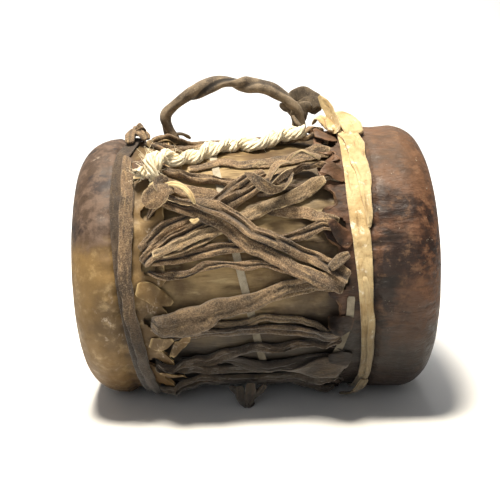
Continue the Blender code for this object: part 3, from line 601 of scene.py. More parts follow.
class Finish:
    """A material built up from named patterns: coats of colour over each other, relief, and gloss."""

    def __init__(self, name, patterns, **constants):
        self.look = bpy.data.materials.new(name)
        self.look.use_nodes = True
        self.tree = self.look.node_tree
        self.shader = self.tree.nodes["Principled BSDF"]
        self.patterns = {"patchy": (0.030, 4, 0.6), **patterns}
        self.made = {"place": add(self.tree, "TexCoord", out="Object")}
        for key, value in constants.items():
            self.shader.inputs[key.replace("_", " ")].default_value = value

    def value(self, key):
        """The socket of a coordinate, a surface layer or a pattern, made when it is first asked for."""
        if key not in self.made:
            tree = self.tree
            if key in ("x", "y", "z"):
                self.made[key] = add(tree, "SeparateXYZ", {0: self.made["place"]}, key.upper())
            elif key == "height":
                rough = {0: self.value("patchy"), 1: 0.030, 2: self.value("z")}
                self.made[key] = add(tree, "Math", rough, operation="MULTIPLY_ADD")
            elif key == "strap":
                self.made[key] = add(tree, "CombineXYZ", {0: self.value("along"), 1: self.value("across")})
            elif key in ("warp", "weft"):
                thread = {0: self.value("across" if key == "warp" else "along"), 1: 2 * pi / THREADS}
                turns = add(tree, "Math", thread, operation="MULTIPLY")
                self.made[key] = add(tree, "Math", {0: turns}, operation="SINE")
            elif key == "weave":
                crossing = {0: self.value("warp"), 1: self.value("weft")}
                self.made[key] = add(tree, "Math", crossing, operation="MULTIPLY")
            elif key in self.patterns:
                size, detail, rough, *rest = self.patterns[key]
                where = self.value(rest[1]) if len(rest) > 1 else self.made["place"]
                if rest:
                    where = add(tree, "Mapping", {"Vector": where, "Scale": rest[0]})
                cloud = {"Vector": where, "Scale": 1 / size, "Detail": detail, "Roughness": rough}
                self.made[key] = add(tree, "TexNoise", cloud)
            else:
                self.made[key] = add(tree, "Attribute", out="Fac", attribute_name=key)
        return self.made[key]

    def between(self, key, low, high, first=0.0, last=1.0):
        """Spreads a pattern's middle range over another one, smoothly."""
        spread = {0: self.value(key), 1: low, 2: high, 3: first, 4: last}
        return add(self.tree, "MapRange", spread, interpolation_type="SMOOTHSTEP")

    def paint(self, colour, coats):
        """Lays coats of (colour, share, tests) over a colour; a coat shows where all of its tests hold."""
        under = (*colour, 1)
        for tint, share, *tests in coats:
            for test in tests:
                share = add(self.tree, "Math", {0: self.between(*test), 1: share}, operation="MULTIPLY")
            coat = {0: share, 6: under, 7: (*tint, 1)}
            under = add(self.tree, "Mix", coat, 2, data_type="RGBA")
        self.tree.links.new(under, self.shader.inputs["Base Color"])

    def emboss(self, *reliefs):
        """Presses reliefs of (pattern, depth, strength) into the surface, the coarsest first."""
        normal = {}
        for key, depth, strength in reliefs:
            press = {"Height": self.value(key), "Distance": depth, "Strength": strength}
            normal = {"Normal": add(self.tree, "Bump", {**press, **normal})}
        self.tree.links.new(normal["Normal"], self.shader.inputs["Normal"])

    def gloss(self, key, low, high, first, last):
        """Varies the roughness with a pattern."""
        self.tree.links.new(self.between(key, low, high, first, last), self.shader.inputs["Roughness"])


def painted_underside_shade(most):
    """Painted shade: darkens a finish towards the drum's underside, where little light reaches."""
    return (linear("#120D09"), most, ("height", 0.140, 0.058))


def suede_look():
    # Brain-tanned suede thong: a dull nap speckled light and dark, painted shade in the folds and underneath,
    # pale where it is cut.
    # The speckle is drawn at 0.9 mm, coarser than the real nap of about 0.3 mm, so that it shows
    finish = Finish(
        "worn_suede",
        {
            "nap": (0.0009, 3, 0.6),
            "fine": (0.0006, 2, 0.5),
            "patch": (0.016, 3, 0.6),
            "creases": (0.004, 3, 0.6, (0.30, 1.5, 1), "strap"),
        },
        Roughness=0.93,
        Sheen_Weight=0.18,
        Sheen_Roughness=0.6,
        IOR=1.4,
    )
    hues = colours()
    finish.paint(
        hues.suede_dark,
        [
            (hues.suede, 0.75, ("patch", 0.30, 0.65)),
            (linear("#B79F7A"), 0.7, ("tone", 0.0, 1.0)),
            # Painted highlight along the raised creases and painted shade in their valleys
            (linear("#C3A376"), 0.55, ("creases", 0.53, 0.68)),
            (linear("#1E1610"), 0.70, ("creases", 0.46, 0.32)),
            (linear("#C6B190"), 0.38, ("nap", 0.51, 0.66)),
            (linear("#2A2018"), 0.55, ("nap", 0.49, 0.36)),
            (linear("#33281F"), 0.85, ("tone", 0.0, -1.0)),
            (linear("#241A13"), 0.40, ("fine", 0.50, 0.36)),
            # Painted shade in the fold down the thong's middle and on its underside
            (linear("#130E0A"), 0.92, ("hollow", 0.0, 0.9)),
            (hues.suede_pale, 1.0, ("pale", 0.1, 1.0), ("patch", 0.30, 0.52)),
            painted_underside_shade(0.86),
        ],
    )
    finish.emboss(("creases", 0.0013, 0.6), ("nap", 0.0008, 0.7), ("fine", 0.0004, 0.5))
    return finish.look


def tan_hide_look():
    # Dried rawhide with the hair scraped off: smooth, cloudy and a little waxy, with a smoky stain on top.
    # The grain is drawn at 1.2 mm, coarser than the real follicles of about 0.4 mm
    finish = Finish(
        "tan_rawhide",
        {
            "cloud": (0.045, 5, 0.6),
            "blotch": (0.020, 5, 0.65),
            "mottle": (0.009, 5, 0.65),
            "grain": (0.0012, 3, 0.6),
            "scuffs": (0.006, 6, 0.72, (1, 1, 0.6)),
        },
        IOR=1.42,
    )
    hues = colours()
    on_top = ("height", 0.126, 0.144)
    past_belt = ("x", -0.078, -0.086)
    finish.paint(
        hues.tan_hide,
        [
            (hues.tan_shade, 1.0, ("cloud", 0.36, 0.66)),
            (hues.tan_shade, 0.5, ("mottle", 0.50, 0.74)),
            (linear("#CDB282"), 0.40, ("mottle", 0.48, 0.28)),
            # Painted shade: the hide darker towards the bottom of the head
            (linear("#5A4227"), 0.55, ("height", 0.075, 0.020)),
            (hues.stain, 0.92, on_top, past_belt),
            (linear("#6E5A4C"), 0.75, ("mottle", 0.42, 0.62), on_top, past_belt),
            (linear("#1F1719"), 0.80, ("blotch", 0.50, 0.64), on_top, past_belt),
            (hues.scuff, 0.6, ("scuffs", 0.56, 0.68), ("cloud", 0.45, 0.62)),
            # Painted shade in the creases by the belt, round the lacing holes and in the folds of the scraps
            (linear("#24180F"), 0.8, ("hollow", 0.0, 1.0)),
            (linear("#D9BF8B"), 0.8, ("pale", 0.0, 1.0)),
            painted_underside_shade(0.28),
        ],
    )
    finish.gloss("mottle", 0.3, 0.7, 0.50, 0.76)
    finish.emboss(("mottle", 0.0014, 0.6), ("grain", 0.00025, 0.4))
    return finish.look


def dark_hide_look():
    # Smoke-darkened rawhide: reddish brown with near-black clouds, creases from the belt with painted shade
    # in them, scuffs, rubbed rim.
    # The grain is drawn at 1.1 mm, coarser than the real follicles of about 0.4 mm
    finish = Finish(
        "dark_rawhide",
        {
            "cloud": (0.030, 5, 0.62),
            "mottle": (0.007, 5, 0.68),
            "grain": (0.0011, 3, 0.6),
            "fibres": (0.004, 4, 0.6, (0.35, 1, 1)),
            "creases": (0.010, 4, 0.55, (0.28, 1, 1)),
            "spots": (0.0045, 6, 0.75),
        },
        IOR=1.42,
    )
    hues = colours()
    finish.paint(
        hues.dark_shade,
        [
            (hues.dark_hide, 1.0, ("cloud", 0.40, 0.60)),
            (linear("#7A4D30"), 0.60, ("x", 0.092, 0.114), ("mottle", 0.44, 0.62)),
            (linear("#82634A"), 0.50, ("mottle", 0.50, 0.68)),
            (linear("#1B110C"), 0.60, ("fibres", 0.46, 0.28)),
            # Painted shade in the valleys of the creases beside the belt
            (linear("#120B08"), 0.80, ("creases", 0.50, 0.38), ("x", 0.106, 0.082)),
            # Painted light: the upper part of the head lighter, as lit from above
            (linear("#7D6048"), 0.40, ("height", 0.150, 0.200)),
            (hues.scuff, 0.85, ("spots", 0.64, 0.70)),
            # Painted shade in the creases by the belt, round the lacing holes and in the folds of the scraps
            (linear("#160D09"), 0.85, ("hollow", 0.0, 1.0)),
            (linear("#8D6C4E"), 0.5, ("pale", 0.0, 1.0)),
            painted_underside_shade(0.90),
        ],
    )
    finish.gloss("mottle", 0.3, 0.7, 0.46, 0.74)
    finish.emboss(("creases", 0.0030, 0.5), ("fibres", 0.0018, 0.7), ("grain", 0.00025, 0.45))
    return finish.look


def buckskin_look():
    # Smoked buckskin: cream, soft and matt, golden where handled, with painted shade in its folds and chalky
    # rubbed spots.
    # Its nap is drawn at 0.7 mm, coarser than the real 0.3 mm
    finish = Finish(
        "cream_buckskin",
        {
            "cloud": (0.014, 4, 0.6),
            "mottle": (0.0035, 4, 0.65),
            "rubbed": (0.008, 5, 0.7),
            "lines": (0.0030, 3, 0.6, (0.14, 1, 1), "strap"),
            "fine": (0.0007, 2, 0.5),
        },
        Roughness=0.85,
        Sheen_Weight=0.15,
        IOR=1.4,
    )
    hues = colours()
    finish.paint(
        hues.buckskin,
        [
            (hues.buckskin_shade, 0.55, ("cloud", 0.38, 0.66)),
            (hues.buckskin_shade, 0.5, ("mottle", 0.55, 0.78)),
            (linear("#75572F"), 0.55, ("lines", 0.45, 0.33)),
            (linear("#F0E7D2"), 0.75, ("rubbed", 0.56, 0.68)),
            # Painted shade in the folds of the belt and on its underside
            (linear("#664B29"), 0.8, ("hollow", 0.0, 1.0)),
            (linear("#EFE2BF"), 0.6, ("pale", 0.0, 1.0)),
            painted_underside_shade(0.80),
        ],
    )
    finish.emboss(("lines", 0.0016, 0.6), ("mottle", 0.0014, 0.7), ("fine", 0.0003, 0.5))
    return finish.look


def cotton_look():
    # Unbleached cotton cord: off-white yarn with a woolly surface and painted shade in the lay of its strands
    finish = Finish(
        "cotton_yarn",
        {"yarn": (0.0012, 3, 0.6, (0.5, 2.2, 1), "strap"), "cloud": (0.006, 4, 0.6)},
        Roughness=0.95,
        Sheen_Weight=0.25,
        IOR=1.35,
    )
    hues = colours()
    finish.paint(
        hues.cotton,
        [
            (hues.cotton_shade, 0.5, ("cloud", 0.42, 0.70)),
            (hues.cotton_shade, 0.45, ("yarn", 0.48, 0.28)),
            # Painted shade on the sides of the yarns that face into their strand
            (linear("#6B5D45"), 0.8, ("hollow", 0.0, 1.0)),
            painted_underside_shade(0.80),
        ],
    )
    finish.emboss(("yarn", 0.0006, 0.8))
    return finish.look


def tape_look():
    # Plain-woven cotton tape, greyed by handling and worn thin at its edges
    finish = Finish("cotton_tape_weave", {"cloud": (0.008, 4, 0.65)}, Roughness=0.9, IOR=1.4)
    finish.paint(
        linear("#B5AC99"),
        [
            (linear("#7D735F"), 0.6, ("cloud", 0.40, 0.68)),
            (linear("#75694F"), 0.4, ("weave", 0.2, -0.9)),
            painted_underside_shade(0.80),
        ],
    )
    finish.emboss(("weave", 0.0002, 0.5))
    return finish.look


def handle_look():
    # Oiled leather strap wrung into a cord: painted shade in its grooves, greyed and speckled on its ridges.
    # The speckle is drawn at 1 mm, coarser than the real nap of about 0.3 mm
    finish = Finish(
        "twisted_leather",
        {"cloud": (0.012, 4, 0.6), "nap": (0.0010, 4, 0.65)},
        Roughness=0.8,
        Sheen_Weight=0.12,
        IOR=1.45,
    )
    hues = colours()
    finish.paint(
        hues.leather_dark,
        [
            (hues.leather, 1.0, ("cloud", 0.32, 0.66)),
            (linear("#B09D7F"), 0.6, ("nap", 0.52, 0.74)),
            # Painted shade in the grooves of the twist and in the folds of the knots
            (linear("#120D09"), 0.9, ("hollow", 0.0, 1.0)),
            (linear("#A08A6C"), 0.7, ("pale", 0.0, 1.0)),
        ],
    )
    finish.emboss(("cloud", 0.0016, 0.35), ("nap", 0.0006, 0.6))
    return finish.look


def shell_look():
    # Log covered with thin tan skin: blond with long brown streaks, and painted shade between the laces
    # towards the right tabs
    finish = Finish(
        "skinned_log",
        {
            "cloud": (0.035, 5, 0.6),
            "streaks": (0.006, 5, 0.6, (0.22, 1, 1)),
            "grain": (0.0014, 3, 0.6, (0.4, 1, 1)),
        },
        IOR=1.45,
    )
    hues = colours()
    finish.paint(
        hues.shell,
        [
            (hues.shell_shade, 0.95, ("cloud", 0.40, 0.64)),
            (linear("#4F3A20"), 0.75, ("streaks", 0.51, 0.70)),
            (linear("#D6BF8C"), 0.50, ("streaks", 0.45, 0.30)),
            # Painted shade: the log darker between the laces towards the right tabs
            (linear("#2E2014"), 0.85, ("x", -0.005, 0.050), ("patchy", 0.30, 0.55)),
            painted_underside_shade(0.97),
        ],
    )
    finish.gloss("streaks", 0.3, 0.7, 0.5, 0.75)
    finish.emboss(("streaks", 0.0016, 0.7), ("grain", 0.0003, 0.4))
    return finish.look


def floor_look():
    # Matt painted floor, pale and even, with the faintest mottling
    finish = Finish("matt_pale_floor", {"cloud": (0.4, 3, 0.55)}, Roughness=0.9, IOR=1.45)
    finish.paint(colours().floor, [(linear("#F0EFEC"), 1.0, ("cloud", 0.0, 1.0))])
    return finish.look


LOOKS = {
    "suede": suede_look,
    "tan_hide": tan_hide_look,
    "dark_hide": dark_hide_look,
    "buckskin": buckskin_look,
    "cotton": cotton_look,
    "tape": tape_look,
    "dark_leather": handle_look,
    "wood": shell_look,
    "floor": floor_look,
}
MADE = {}


def look_of(kind):
    """The material of a kind, made the first time it is asked for."""
    if kind not in MADE:
        MADE[kind] = LOOKS[kind]()
    return MADE[kind]


def ground():
    """The height map that all straps share, begun when the first one is laid."""
    if "ground" not in MADE:
        MADE["ground"] = Ground()
    return MADE["ground"]


# Shell and heads


def rim_line(side, inset, steps):
    """The rounded rim as x and radius, from the flat of the head out to its skirt."""
    turn = np.linspace(0, pi / 2, steps + 1)
    x = side * (HALF - RIM_LENGTH + (RIM_LENGTH - inset) * np.cos(turn))
    return x, cone_radius(x) - RIM_DROP + (RIM_DROP - inset) * np.sin(turn)


def spun(bm, outline, start=0.0):
    """Turns an outline of (x, radius) once round the drum's axis."""
    turn = radians(start)
    verts = [bm.verts.new((x, -r * cos(turn), r * sin(turn))) for x, r in outline]
    edges = [bm.edges.new(pair) for pair in zip(verts, verts[1:])]
    bmesh.ops.spin(
        bm,
        geom=verts + edges,
        cent=(0, 0, 0),
        axis=(1, 0, 0),
        angle=2 * pi,
        steps=sizes().rounds,
        use_merge=True,
        use_duplicate=False,
    )
    bmesh.ops.remove_doubles(bm, verts=bm.verts, dist=1e-6)


def polar(bm):
    """The x, angle and radius of every vertex, about the drum's axis."""
    co = np.array([v.co for v in bm.verts])
    return co[:, 0], np.arctan2(co[:, 2], -co[:, 1]), np.hypot(co[:, 1], co[:, 2])


def put_back(bm, x, turn, radius, lowest=FLOOR_CLEARANCE):
    """Sets every vertex from its x, angle and radius, clear of the floor."""
    for vertex, spot in zip(bm.verts, to_frame(x, turn, radius)):
        vertex.co = spot
        vertex.co.z = max(vertex.co.z, lowest)


def make_shell():
    """The hollow log, with its uneven outside and its true wall."""
    inset = HIDE + GAP
    outline = []
    for side in (LEFT, RIGHT):
        bore = cone_radius(side * HALF) - inset - WALL
        rim_x, rim_r = rim_line(side, inset, 8)
        rim = [(x, r) for x, r in zip(rim_x, rim_r) if r > bore + WALL * 0.2]
        outer = np.linspace(groove(side)[0] + side * 0.0006, 0, 36)[: 36 if side == LEFT else 35]
        half = [(rim[0][0], bore)] + rim + [(x, cone_radius(x) - inset) for x in outer]
        outline += half if side == LEFT else half[::-1]
    outline.append(outline[0])
    bm = bmesh.new()
    spun(bm, outline)
    x, turn, radius = polar(bm)
    outside = (radius > cone_radius(x) - inset - 0.0005) & (np.abs(x) < abs(groove(RIGHT)[0]) + 0.02)
    middle = np.where(x < 0, np.abs(x) < abs(groove(LEFT)[0]), np.abs(x) < abs(groove(RIGHT)[0]))
    radius = np.where(outside & middle, shell_surface(x, turn), radius)
    put_back(bm, x, turn, radius, 0.0015)
    return settle_mesh(bm, "log_shell", "wood", ("shell",))


def thicken(bm, thickness):
    """Gives an open skin its thickness inwards, with a wall round each of its edges."""
    bm.normal_update()
    facing = {vertex.co.copy().freeze(): vertex.normal.copy() for vertex in bm.verts}
    made = bmesh.ops.extrude_face_region(bm, geom=list(bm.faces), use_keep_orig=True)["geom"]
    for vertex in [item for item in made if isinstance(item, bmesh.types.BMVert)]:
        vertex.co -= facing[vertex.co.copy().freeze()] * thickness
    bmesh.ops.recalc_face_normals(bm, faces=bm.faces)
    if bm.calc_volume(signed=True) < 0:
        bmesh.ops.reverse_faces(bm, faces=bm.faces)


def make_head(side, name, node, kind):
    """A rawhide head: taut drumming face, round rim, creased skirt, and torn tabs with lacing holes."""
    rim_x, rim_r = rim_line(side, 0.0, 14)
    face = [(side * HALF, r) for r in np.linspace(0.0005, rim_r[0], 9)[:-1]]
    start, _, inner = groove(side)
    straight = np.linspace(side * (HALF - RIM_LENGTH), start, 4)[1:]
    seat = np.linspace(start, inner, 14)[1:]
    tabs = np.linspace(inner, tab_edge(side), 26)[1:]
    outline = face + list(zip(rim_x, rim_r))
    outline += [(x, cone_radius(x)) for x in np.concatenate([straight, seat, tabs])]
    bm = bmesh.new()
    spun(bm, outline, PHASE[side])
    middle = [v for v in bm.verts if abs(v.co.x - side * HALF) < 1e-6 and v.co.yz.length < 0.001]
    bmesh.ops.pointmerge(bm, verts=middle, merge_co=(side * HALF, 0, 0))

    x, turn, radius = polar(bm)
    on_tabs = np.clip((abs(inner) - np.abs(x)) / (abs(inner) - abs(tab_edge(side))), 0, 1)
    reach = np.abs(tab_line(side, turn)) - abs(tab_edge(side))
    x = np.where(radius > 0.05, x + side * reach * on_tabs, x)
    skirt = radius > cone_radius(x) - 0.0002
    creased = skirt & (np.abs(x) < HALF - RIM_LENGTH + 0.012)
    radius = np.where(creased, skirt_surface(side, x, turn), radius)
    uneven = 0.0007 * ripples(51 + side, x, turn, 14, 7) + 0.0002 * ripples(54 + side, x, turn, 30, 19)
    ease = np.clip((radius - 0.02) / 0.03, 0, 1) * np.clip((np.abs(x) - abs(start)) / 0.006, 0, 1)
    radius = radius + uneven * ease - 0.0002 * ease
    edge = np.clip(1 - (np.abs(x) - np.abs(tab_line(side, turn))) / 0.0012, 0, 1) * (radius > 0.05)
    # The hollow layer marks the creases by the belt and the skin round the lacing holes, where the finishes
    # paint shade
    sunk = np.clip(-(skirt_surface(side, x, turn) - cone_radius(x)) / 0.0035 - 0.45, 0, 1)
    near = np.clip(1 - (in_hole(side, x, turn) - 1) / 0.6, 0, 1)
    pale = bm.verts.layers.float.new("pale")
    hollow = bm.verts.layers.float.new("hollow")
    rough_edge = 0.5 + 0.5 * ripples(61 + side, x, turn, 5, 60)
    for index, vertex in enumerate(bm.verts):
        vertex[pale] = float(edge[index] * np.clip(rough_edge[index], 0, 1))
        vertex[hollow] = float(max(sunk[index] * creased[index], near[index] * 0.6 * creased[index]))
    put_back(bm, x, turn, radius, 0.0)

    inside = in_hole(side, x, turn)
    low, high = np.abs(tab_edge(side)), np.abs(inner)
    torn = []
    for face in bm.faces:
        picked = [v.index for v in face.verts]
        if inside[picked].mean() < 1 and low < abs(x[picked].mean()) < high:
            torn.append(face)
    bm.verts.ensure_lookup_table()
    bmesh.ops.delete(bm, geom=torn, context="FACES")
    open_verts = [v for v in bm.verts if v.is_boundary]
    for _ in range(2):
        bmesh.ops.smooth_vert(
            bm, verts=open_verts, factor=0.5, use_axis_x=True, use_axis_y=True, use_axis_z=True
        )
    bmesh.ops.recalc_face_normals(bm, faces=bm.faces)
    rest = Vector((0, AXIS_BACK, AXIS_HEIGHT))
    if sum(f.normal.dot(f.calc_center_median() - rest) for f in bm.faces) < 0:
        bmesh.ops.reverse_faces(bm, faces=bm.faces)
    thicken(bm, HIDE)
    return settle_mesh(bm, name, kind, (node,), smooth_angle=50, lowest=0.0)


# Laces: (route, widths in mm, habit), in the order in which they were laid

# Width of a thong where it goes through a hole
NECK = 3.8


def front_laces():
    """Thongs across the front; an end that is tied runs down into a hole of a tab."""
    return [
        ([tied(LEFT, -3), (-40, -74), (0, -72), (30, -69), tied(RIGHT, -3)], [NECK, 9, 9, 8, NECK], PLAIN),
        (
            [tied(LEFT, -2, -1), (-48, -60), (-20, -62), (12, -61), (36, -63), tied(RIGHT, -3, 1)],
            [NECK, 8, 10, 10, 8, NECK],
            PLAIN,
        ),
        (
            [tied(LEFT, -2, 1), (-54, -51), (-20, -53), (4, -53), (22, -50), (38, -46), tied(RIGHT, -2, -1)],
            [NECK, 8, 9, 9, 9, 7, NECK],
            DOUBLE,
        ),
        (
            [tied(LEFT, -1, -1), (-57, -38), (-44, -41), (-20, -42), (0, -40), (15, -38), (34, -38)]
            + [tied(RIGHT, -2, 1)],
            [NECK, 7, 9, 9, 9, 9, 8, NECK],
            DOUBLE,
        ),
        ([(-52, -34), (-33, -35), (-21, -34), (0, -37), (20, -35), (34, -34), (46, -32)],
         [5, 7, 7, 6, 4], DARK),
        (
            [tied(LEFT, -1, 1), (-52, -33), (-32, -32), (-19, -29), (-7, -26), (11, -26), (26, -25)]
            + [(38, -23), tied(RIGHT, -1, -1)],
            [NECK, 6, 8, 8, 8, 7, 6, 6, NECK],
            TURNED,
        ),
        ([(4, -45), (16, -42), (29, -38), (40, -36), (51, -35), (59, -36)], [7, 9, 13, 15, 14], FLAT),
        (
            [(-40, -16), (-26, -14), (-13, -14), (1, -11), (15, -12), (29, -13), (40, -15)]
            + [tied(RIGHT, -1, 1)],
            [5, 6, 5, 5, NECK],
            PALE,
        ),
        (
            [(-60, -20), (-37, -17), (-13, -17), (1, -16), (15, -17), (29, -18), (42, -18), (51, -17)],
            [6, 7, 7, 8, 8],
            PLAIN,
        ),
        (
            [tied(LEFT, 1, -1), (-60, 9), (-51, 9), (-42, 10), (-31, 12), (-21, 13), (-10, 12), (1, 12)]
            + [(12, 11), (24, 9), (38, 6), tied(RIGHT, 0, 1)],
            [NECK, 6, 7, 6, 7, 7, 6, NECK],
            TURNED,
        ),
        (
            [tied(LEFT, 3, -1), (-60, 56), (-51, 55), (-41, 54), (-28, 51), (-15, 49), (-5, 48), (8, 49)]
            + [(24, 53), (35, 55), (42, 53), tied(RIGHT, 2, 1)],
            [NECK, 8, 8, 7, 6, 6, NECK],
            TURNED,
        ),
        (
            [tied(LEFT, 4, -1), (-60, 74), (-40, 78), (-25, 83), (0, 85), (25, 82), tied(RIGHT, 3, 1)],
            [NECK, 7, 8, 8, 7, NECK],
            DOUBLE,
        ),
        ([(2, 43), (12, 44), (24, 45), (36, 45), tied(RIGHT, 2, -1)], [6, 7, 6, NECK], DARK),
        ([(6, 36), (20, 34), (31, 33), (41, 30), tied(RIGHT, 1, 1)], [7, 9, 8, NECK], FLAT),
        (
            [tied(LEFT, 1, 1), (-60, 15), (-50, 16), (-38, 17), (-25, 19), (-8, 20), (8, 21), (20, 22)]
            + [(32, 24), (41, 26), tied(RIGHT, 1, -1)],
            [NECK, 8, 9, 8, 7, 8, NECK],
            DOUBLE,
        ),
        ([(-58, 17), (-47, 19), (-38, 21), (-27, 25), (-17, 28)], [4, 5, 4], PALE),
        (
            [(-30, -10), (-20, -9), (-8, -7), (2, -5), (12, -2), (26, 0), (39, 2), tied(RIGHT, 0, -1)],
            [4, 4, 5, NECK],
            PALE,
        ),
        (
            [(-42, 59), (-30, 61), (-20, 63), (-8, 61), (10, 62), (30, 64), (43, 66), (52, 64)],
            [6, 7, 8, 12, 13, 5],
            FLAT,
        ),
        (
            [tied(LEFT, 4, 1), (-58, 86), (-40, 90), (-10, 91), (20, 91), (38, 91), tied(RIGHT, 4, -1)],
            [NECK, 8, 8, 7, NECK],
            PLAIN,
        ),
        (
            [tied(LEFT, 3, 1), (-61, 51), (-51, 48), (-38, 45), (-25, 42), (-17, 38)],
            [NECK, 9, 10, 11, 9],
            PLAIN,
        ),
        (
            [tied(LEFT, 0), (-60, -11), (-53, -11), (-47, -10), (-38, -9), (-26, -6), (-12, -4), (1, -2)]
            + [(11, 1), (20, 3), (30, 4), (44, 4)],
            [9, 17.5, 18.5, 16, 12.5, 10, 8.5, 8, 6],
            ROLLED,
        ),
        (
            [(-72, 19), (-58, 27), (-48, 31), (-40, 33), (-32, 35), (-22, 40), (-12, 46), (-2, 51), (8, 54)],
            [8, 8, 8, 7, 7],
            DOUBLE,
        ),
        (
            [(-71, 14), (-55, 22), (-45, 26), (-33, 30), (-25, 33), (-15, 38), (-4, 43), (8, 47)],
            [8, 8, 8, 8, 7],
            DOUBLE,
        ),
        (
            [(-64, 17), (-55, 19), (-44, 22), (-33, 25), (-20, 28), (-10, 31), (0, 34), (12, 37)]
            + [(22, 39), (32, 42), (45, 46)],
            [5, 6, 7, 9, 9, 9],
            PALE,
        ),
        (
            [tied(LEFT, 2, -1), (-59, 38), (-48, 36), (-38, 34), (-28, 31), (-18, 27), (-9, 22), (1, 18)]
            + [(13, 14), (24, 10), (35, 7), (45, 5), (54, 2)],
            [NECK, 8, 9, 9, 9],
            PLAIN,
        ),
        (
            [tied(LEFT, 2, 1), (-60, 42), (-49, 40), (-41, 38), (-29, 35), (-17, 32), (-7, 28), (2, 24)]
            + [(13, 21), (26, 17), (39, 13), (50, 9), (57, 6)],
            [NECK, 8, 10, 9, 9],
            DOUBLE,
        ),
    ]


def back_laces():
    """The plain zigzag over the back and under the drum."""
    widths = [NECK, 9, 9, 9, NECK]
    behind_handle = [tied(LEFT, 5, 1), (-58, 107), (-40, 109), (0, 112), (36, 114), tied(RIGHT, 5, 1)]
    laces = [(behind_handle, widths, PLAIN)]
    for hole in range(6, 13):
        there = [tied(LEFT, hole, -1), (-40, 0), (0, 0), (26, 0), tied(RIGHT, hole, 1)]
        back = [tied(LEFT, hole, 1), (-44, 0), (0, 0), (30, 0), tied(RIGHT, hole - 2, -1)]
        for route in (there, back) if hole in (7, 9, 11) else (there,):
            (x0, a0), (x1, a1) = route[0], route[-1]
            line = [(x, a0 + (a1 - a0) * (x - x0) / (x1 - x0)) for x, _ in route]
            laces.append((line, widths, (PLAIN, DOUBLE, TURNED)[len(laces) % 3]))
    return laces


def make_laces(which, laces, seed):
    """Lays the thongs of one side; an end that is tied has no lift, a loose one rises a little."""
    for number, (route, widths, habit) in enumerate(laces, 1):
        node = f"{which}_lace_{number:02d}"
        loose = [0.8 if route[end][0] not in TIED_AT else 0.0 for end in (0, -1)]
        swollen = 0.8 if habit is ROLLED else 0.0
        lay_strap(
            f"{which}_thong_{number:02d}",
            route,
            widths,
            habit,
            seed + number,
            "suede",
            (node,),
            lift=loose,
            bulge=swollen,
        )


TIED_AT = (hole_middle(LEFT) / MM, hole_middle(RIGHT) / MM)

# The tape's middle and sway in mm and the angle where it crosses its middle; the rope's ring spacing and the
# length of one turn of its yarns in metres; and how many yarns wind round the one in the middle of a strand
TAPE_MIDDLE = -10.5
TAPE_SWAY = 18.0
TAPE_TURN = 10.0
ROPE_STEP = 0.0011
YARN_PITCH = 0.030
OUTER_YARNS = 6
ROPE_ROUTE = [(-69, 49), (-66, 54), (-59, 59), (-49, 63), (-37, 67), (-25, 73), (-10, 78)]
ROPE_ROUTE += [(5, 76), (20, 79), (37, 80)]


def make_tapes():
    """The cotton tape right round the shell, and a short one that slants under the right tabs."""
    width = sizes().tape_width / MM
    ring = []
    for angle in range(-180, 181, 12):
        ring.append((TAPE_MIDDLE - TAPE_SWAY * sin(radians(angle - TAPE_TURN)), angle))
    lay_strap(
        "woven_tape_ring", ring, [width], TAPE, 81, "tape",
        ("cotton_tape",), closed=True, stiff=0.0,
    )
    short = [(59, -2), (56, -16), (50, -31), (43, -45), (34, -62)]
    lay_strap(
        "woven_tape_short", short, [width], TAPE, 82, "tape",
        ("cotton_tape_short",), stiff=0.0,
    )


def strand_rings(middle, side, up, turns, offset, radius, corners, step, seed):
    """Rings of one yarn that winds round a line, and the line of its own middle."""
    rng = np.random.default_rng(seed)
    run = np.arange(len(middle)) * step
    stray = 1 + 0.22 * wander(rng, run, 0.014)
    round_it = np.cos(turns)[:, None] * side + np.sin(turns)[:, None] * up
    centre = middle + (offset * stray)[:, None] * round_it
    corner = 2 * pi * np.arange(corners) / corners
    woolly = 1 + 0.16 * rng.uniform(-1, 1, (len(middle), corners))
    reach = radius * woolly * (1 + 0.15 * wander(rng, run, 0.01))[:, None]
    out = np.cos(corner)[None, :, None] * side[:, None, :] + np.sin(corner)[None, :, None] * up[:, None, :]
    rings = centre[:, None, :] + out * reach[..., None]
    whole = np.ones((len(middle), corners))
    inward = np.clip(-np.cos(corner[None, :] - turns[:, None]), 0, 1)
    layers = {
        # The hollow layer marks the sides of a yarn that face into its strand, where the finish paints shade
        "hollow": np.clip(inward * 0.7, 0, 1),
        "along": run[:, None] * whole,
        "across": (corner[None, :] * radius) * whole,
    }
    return rings, layers, centre


def fuzz(bm, centre, count, seed, reach, thick):
    """Loose cotton hairs along a strand or off it: each a thin three-sided tube with a bend."""
    rng = np.random.default_rng(seed)
    for _ in range(count):
        row = rng.integers(2, len(centre) - 3)
        way = centre[row + 1] - centre[row - 1]
        way = way / np.linalg.norm(way) * rng.choice([-1, 1]) + rng.normal(size=3) * 0.55
        way /= np.linalg.norm(way)
        bend = rng.normal(size=3) * 0.45
        length = reach * rng.uniform(0.5, 1.3)
        spots = [centre[row] + way * length * t + bend * length * t * t for t in (0.1, 0.55, 1.0)]
        aside = np.cross(way, [0.3, 0.5, 0.8])
        aside /= np.linalg.norm(aside)
        third = np.cross(way, aside)
        rings = np.zeros((3, 3, 3))
        for row, (share, spot) in enumerate(zip((1.0, 0.8, 0.3), spots)):
            for k in range(3):
                turn = 2 * pi * k / 3
                rings[row, k] = spot + (aside * cos(turn) + third * sin(turn)) * thick * share
        hair = bmesh.new()
        blank = np.zeros((3, 3))
        grid_tube(hair, rings, {"hollow": blank, "along": blank, "across": blank})
        add_to(bm, hair)


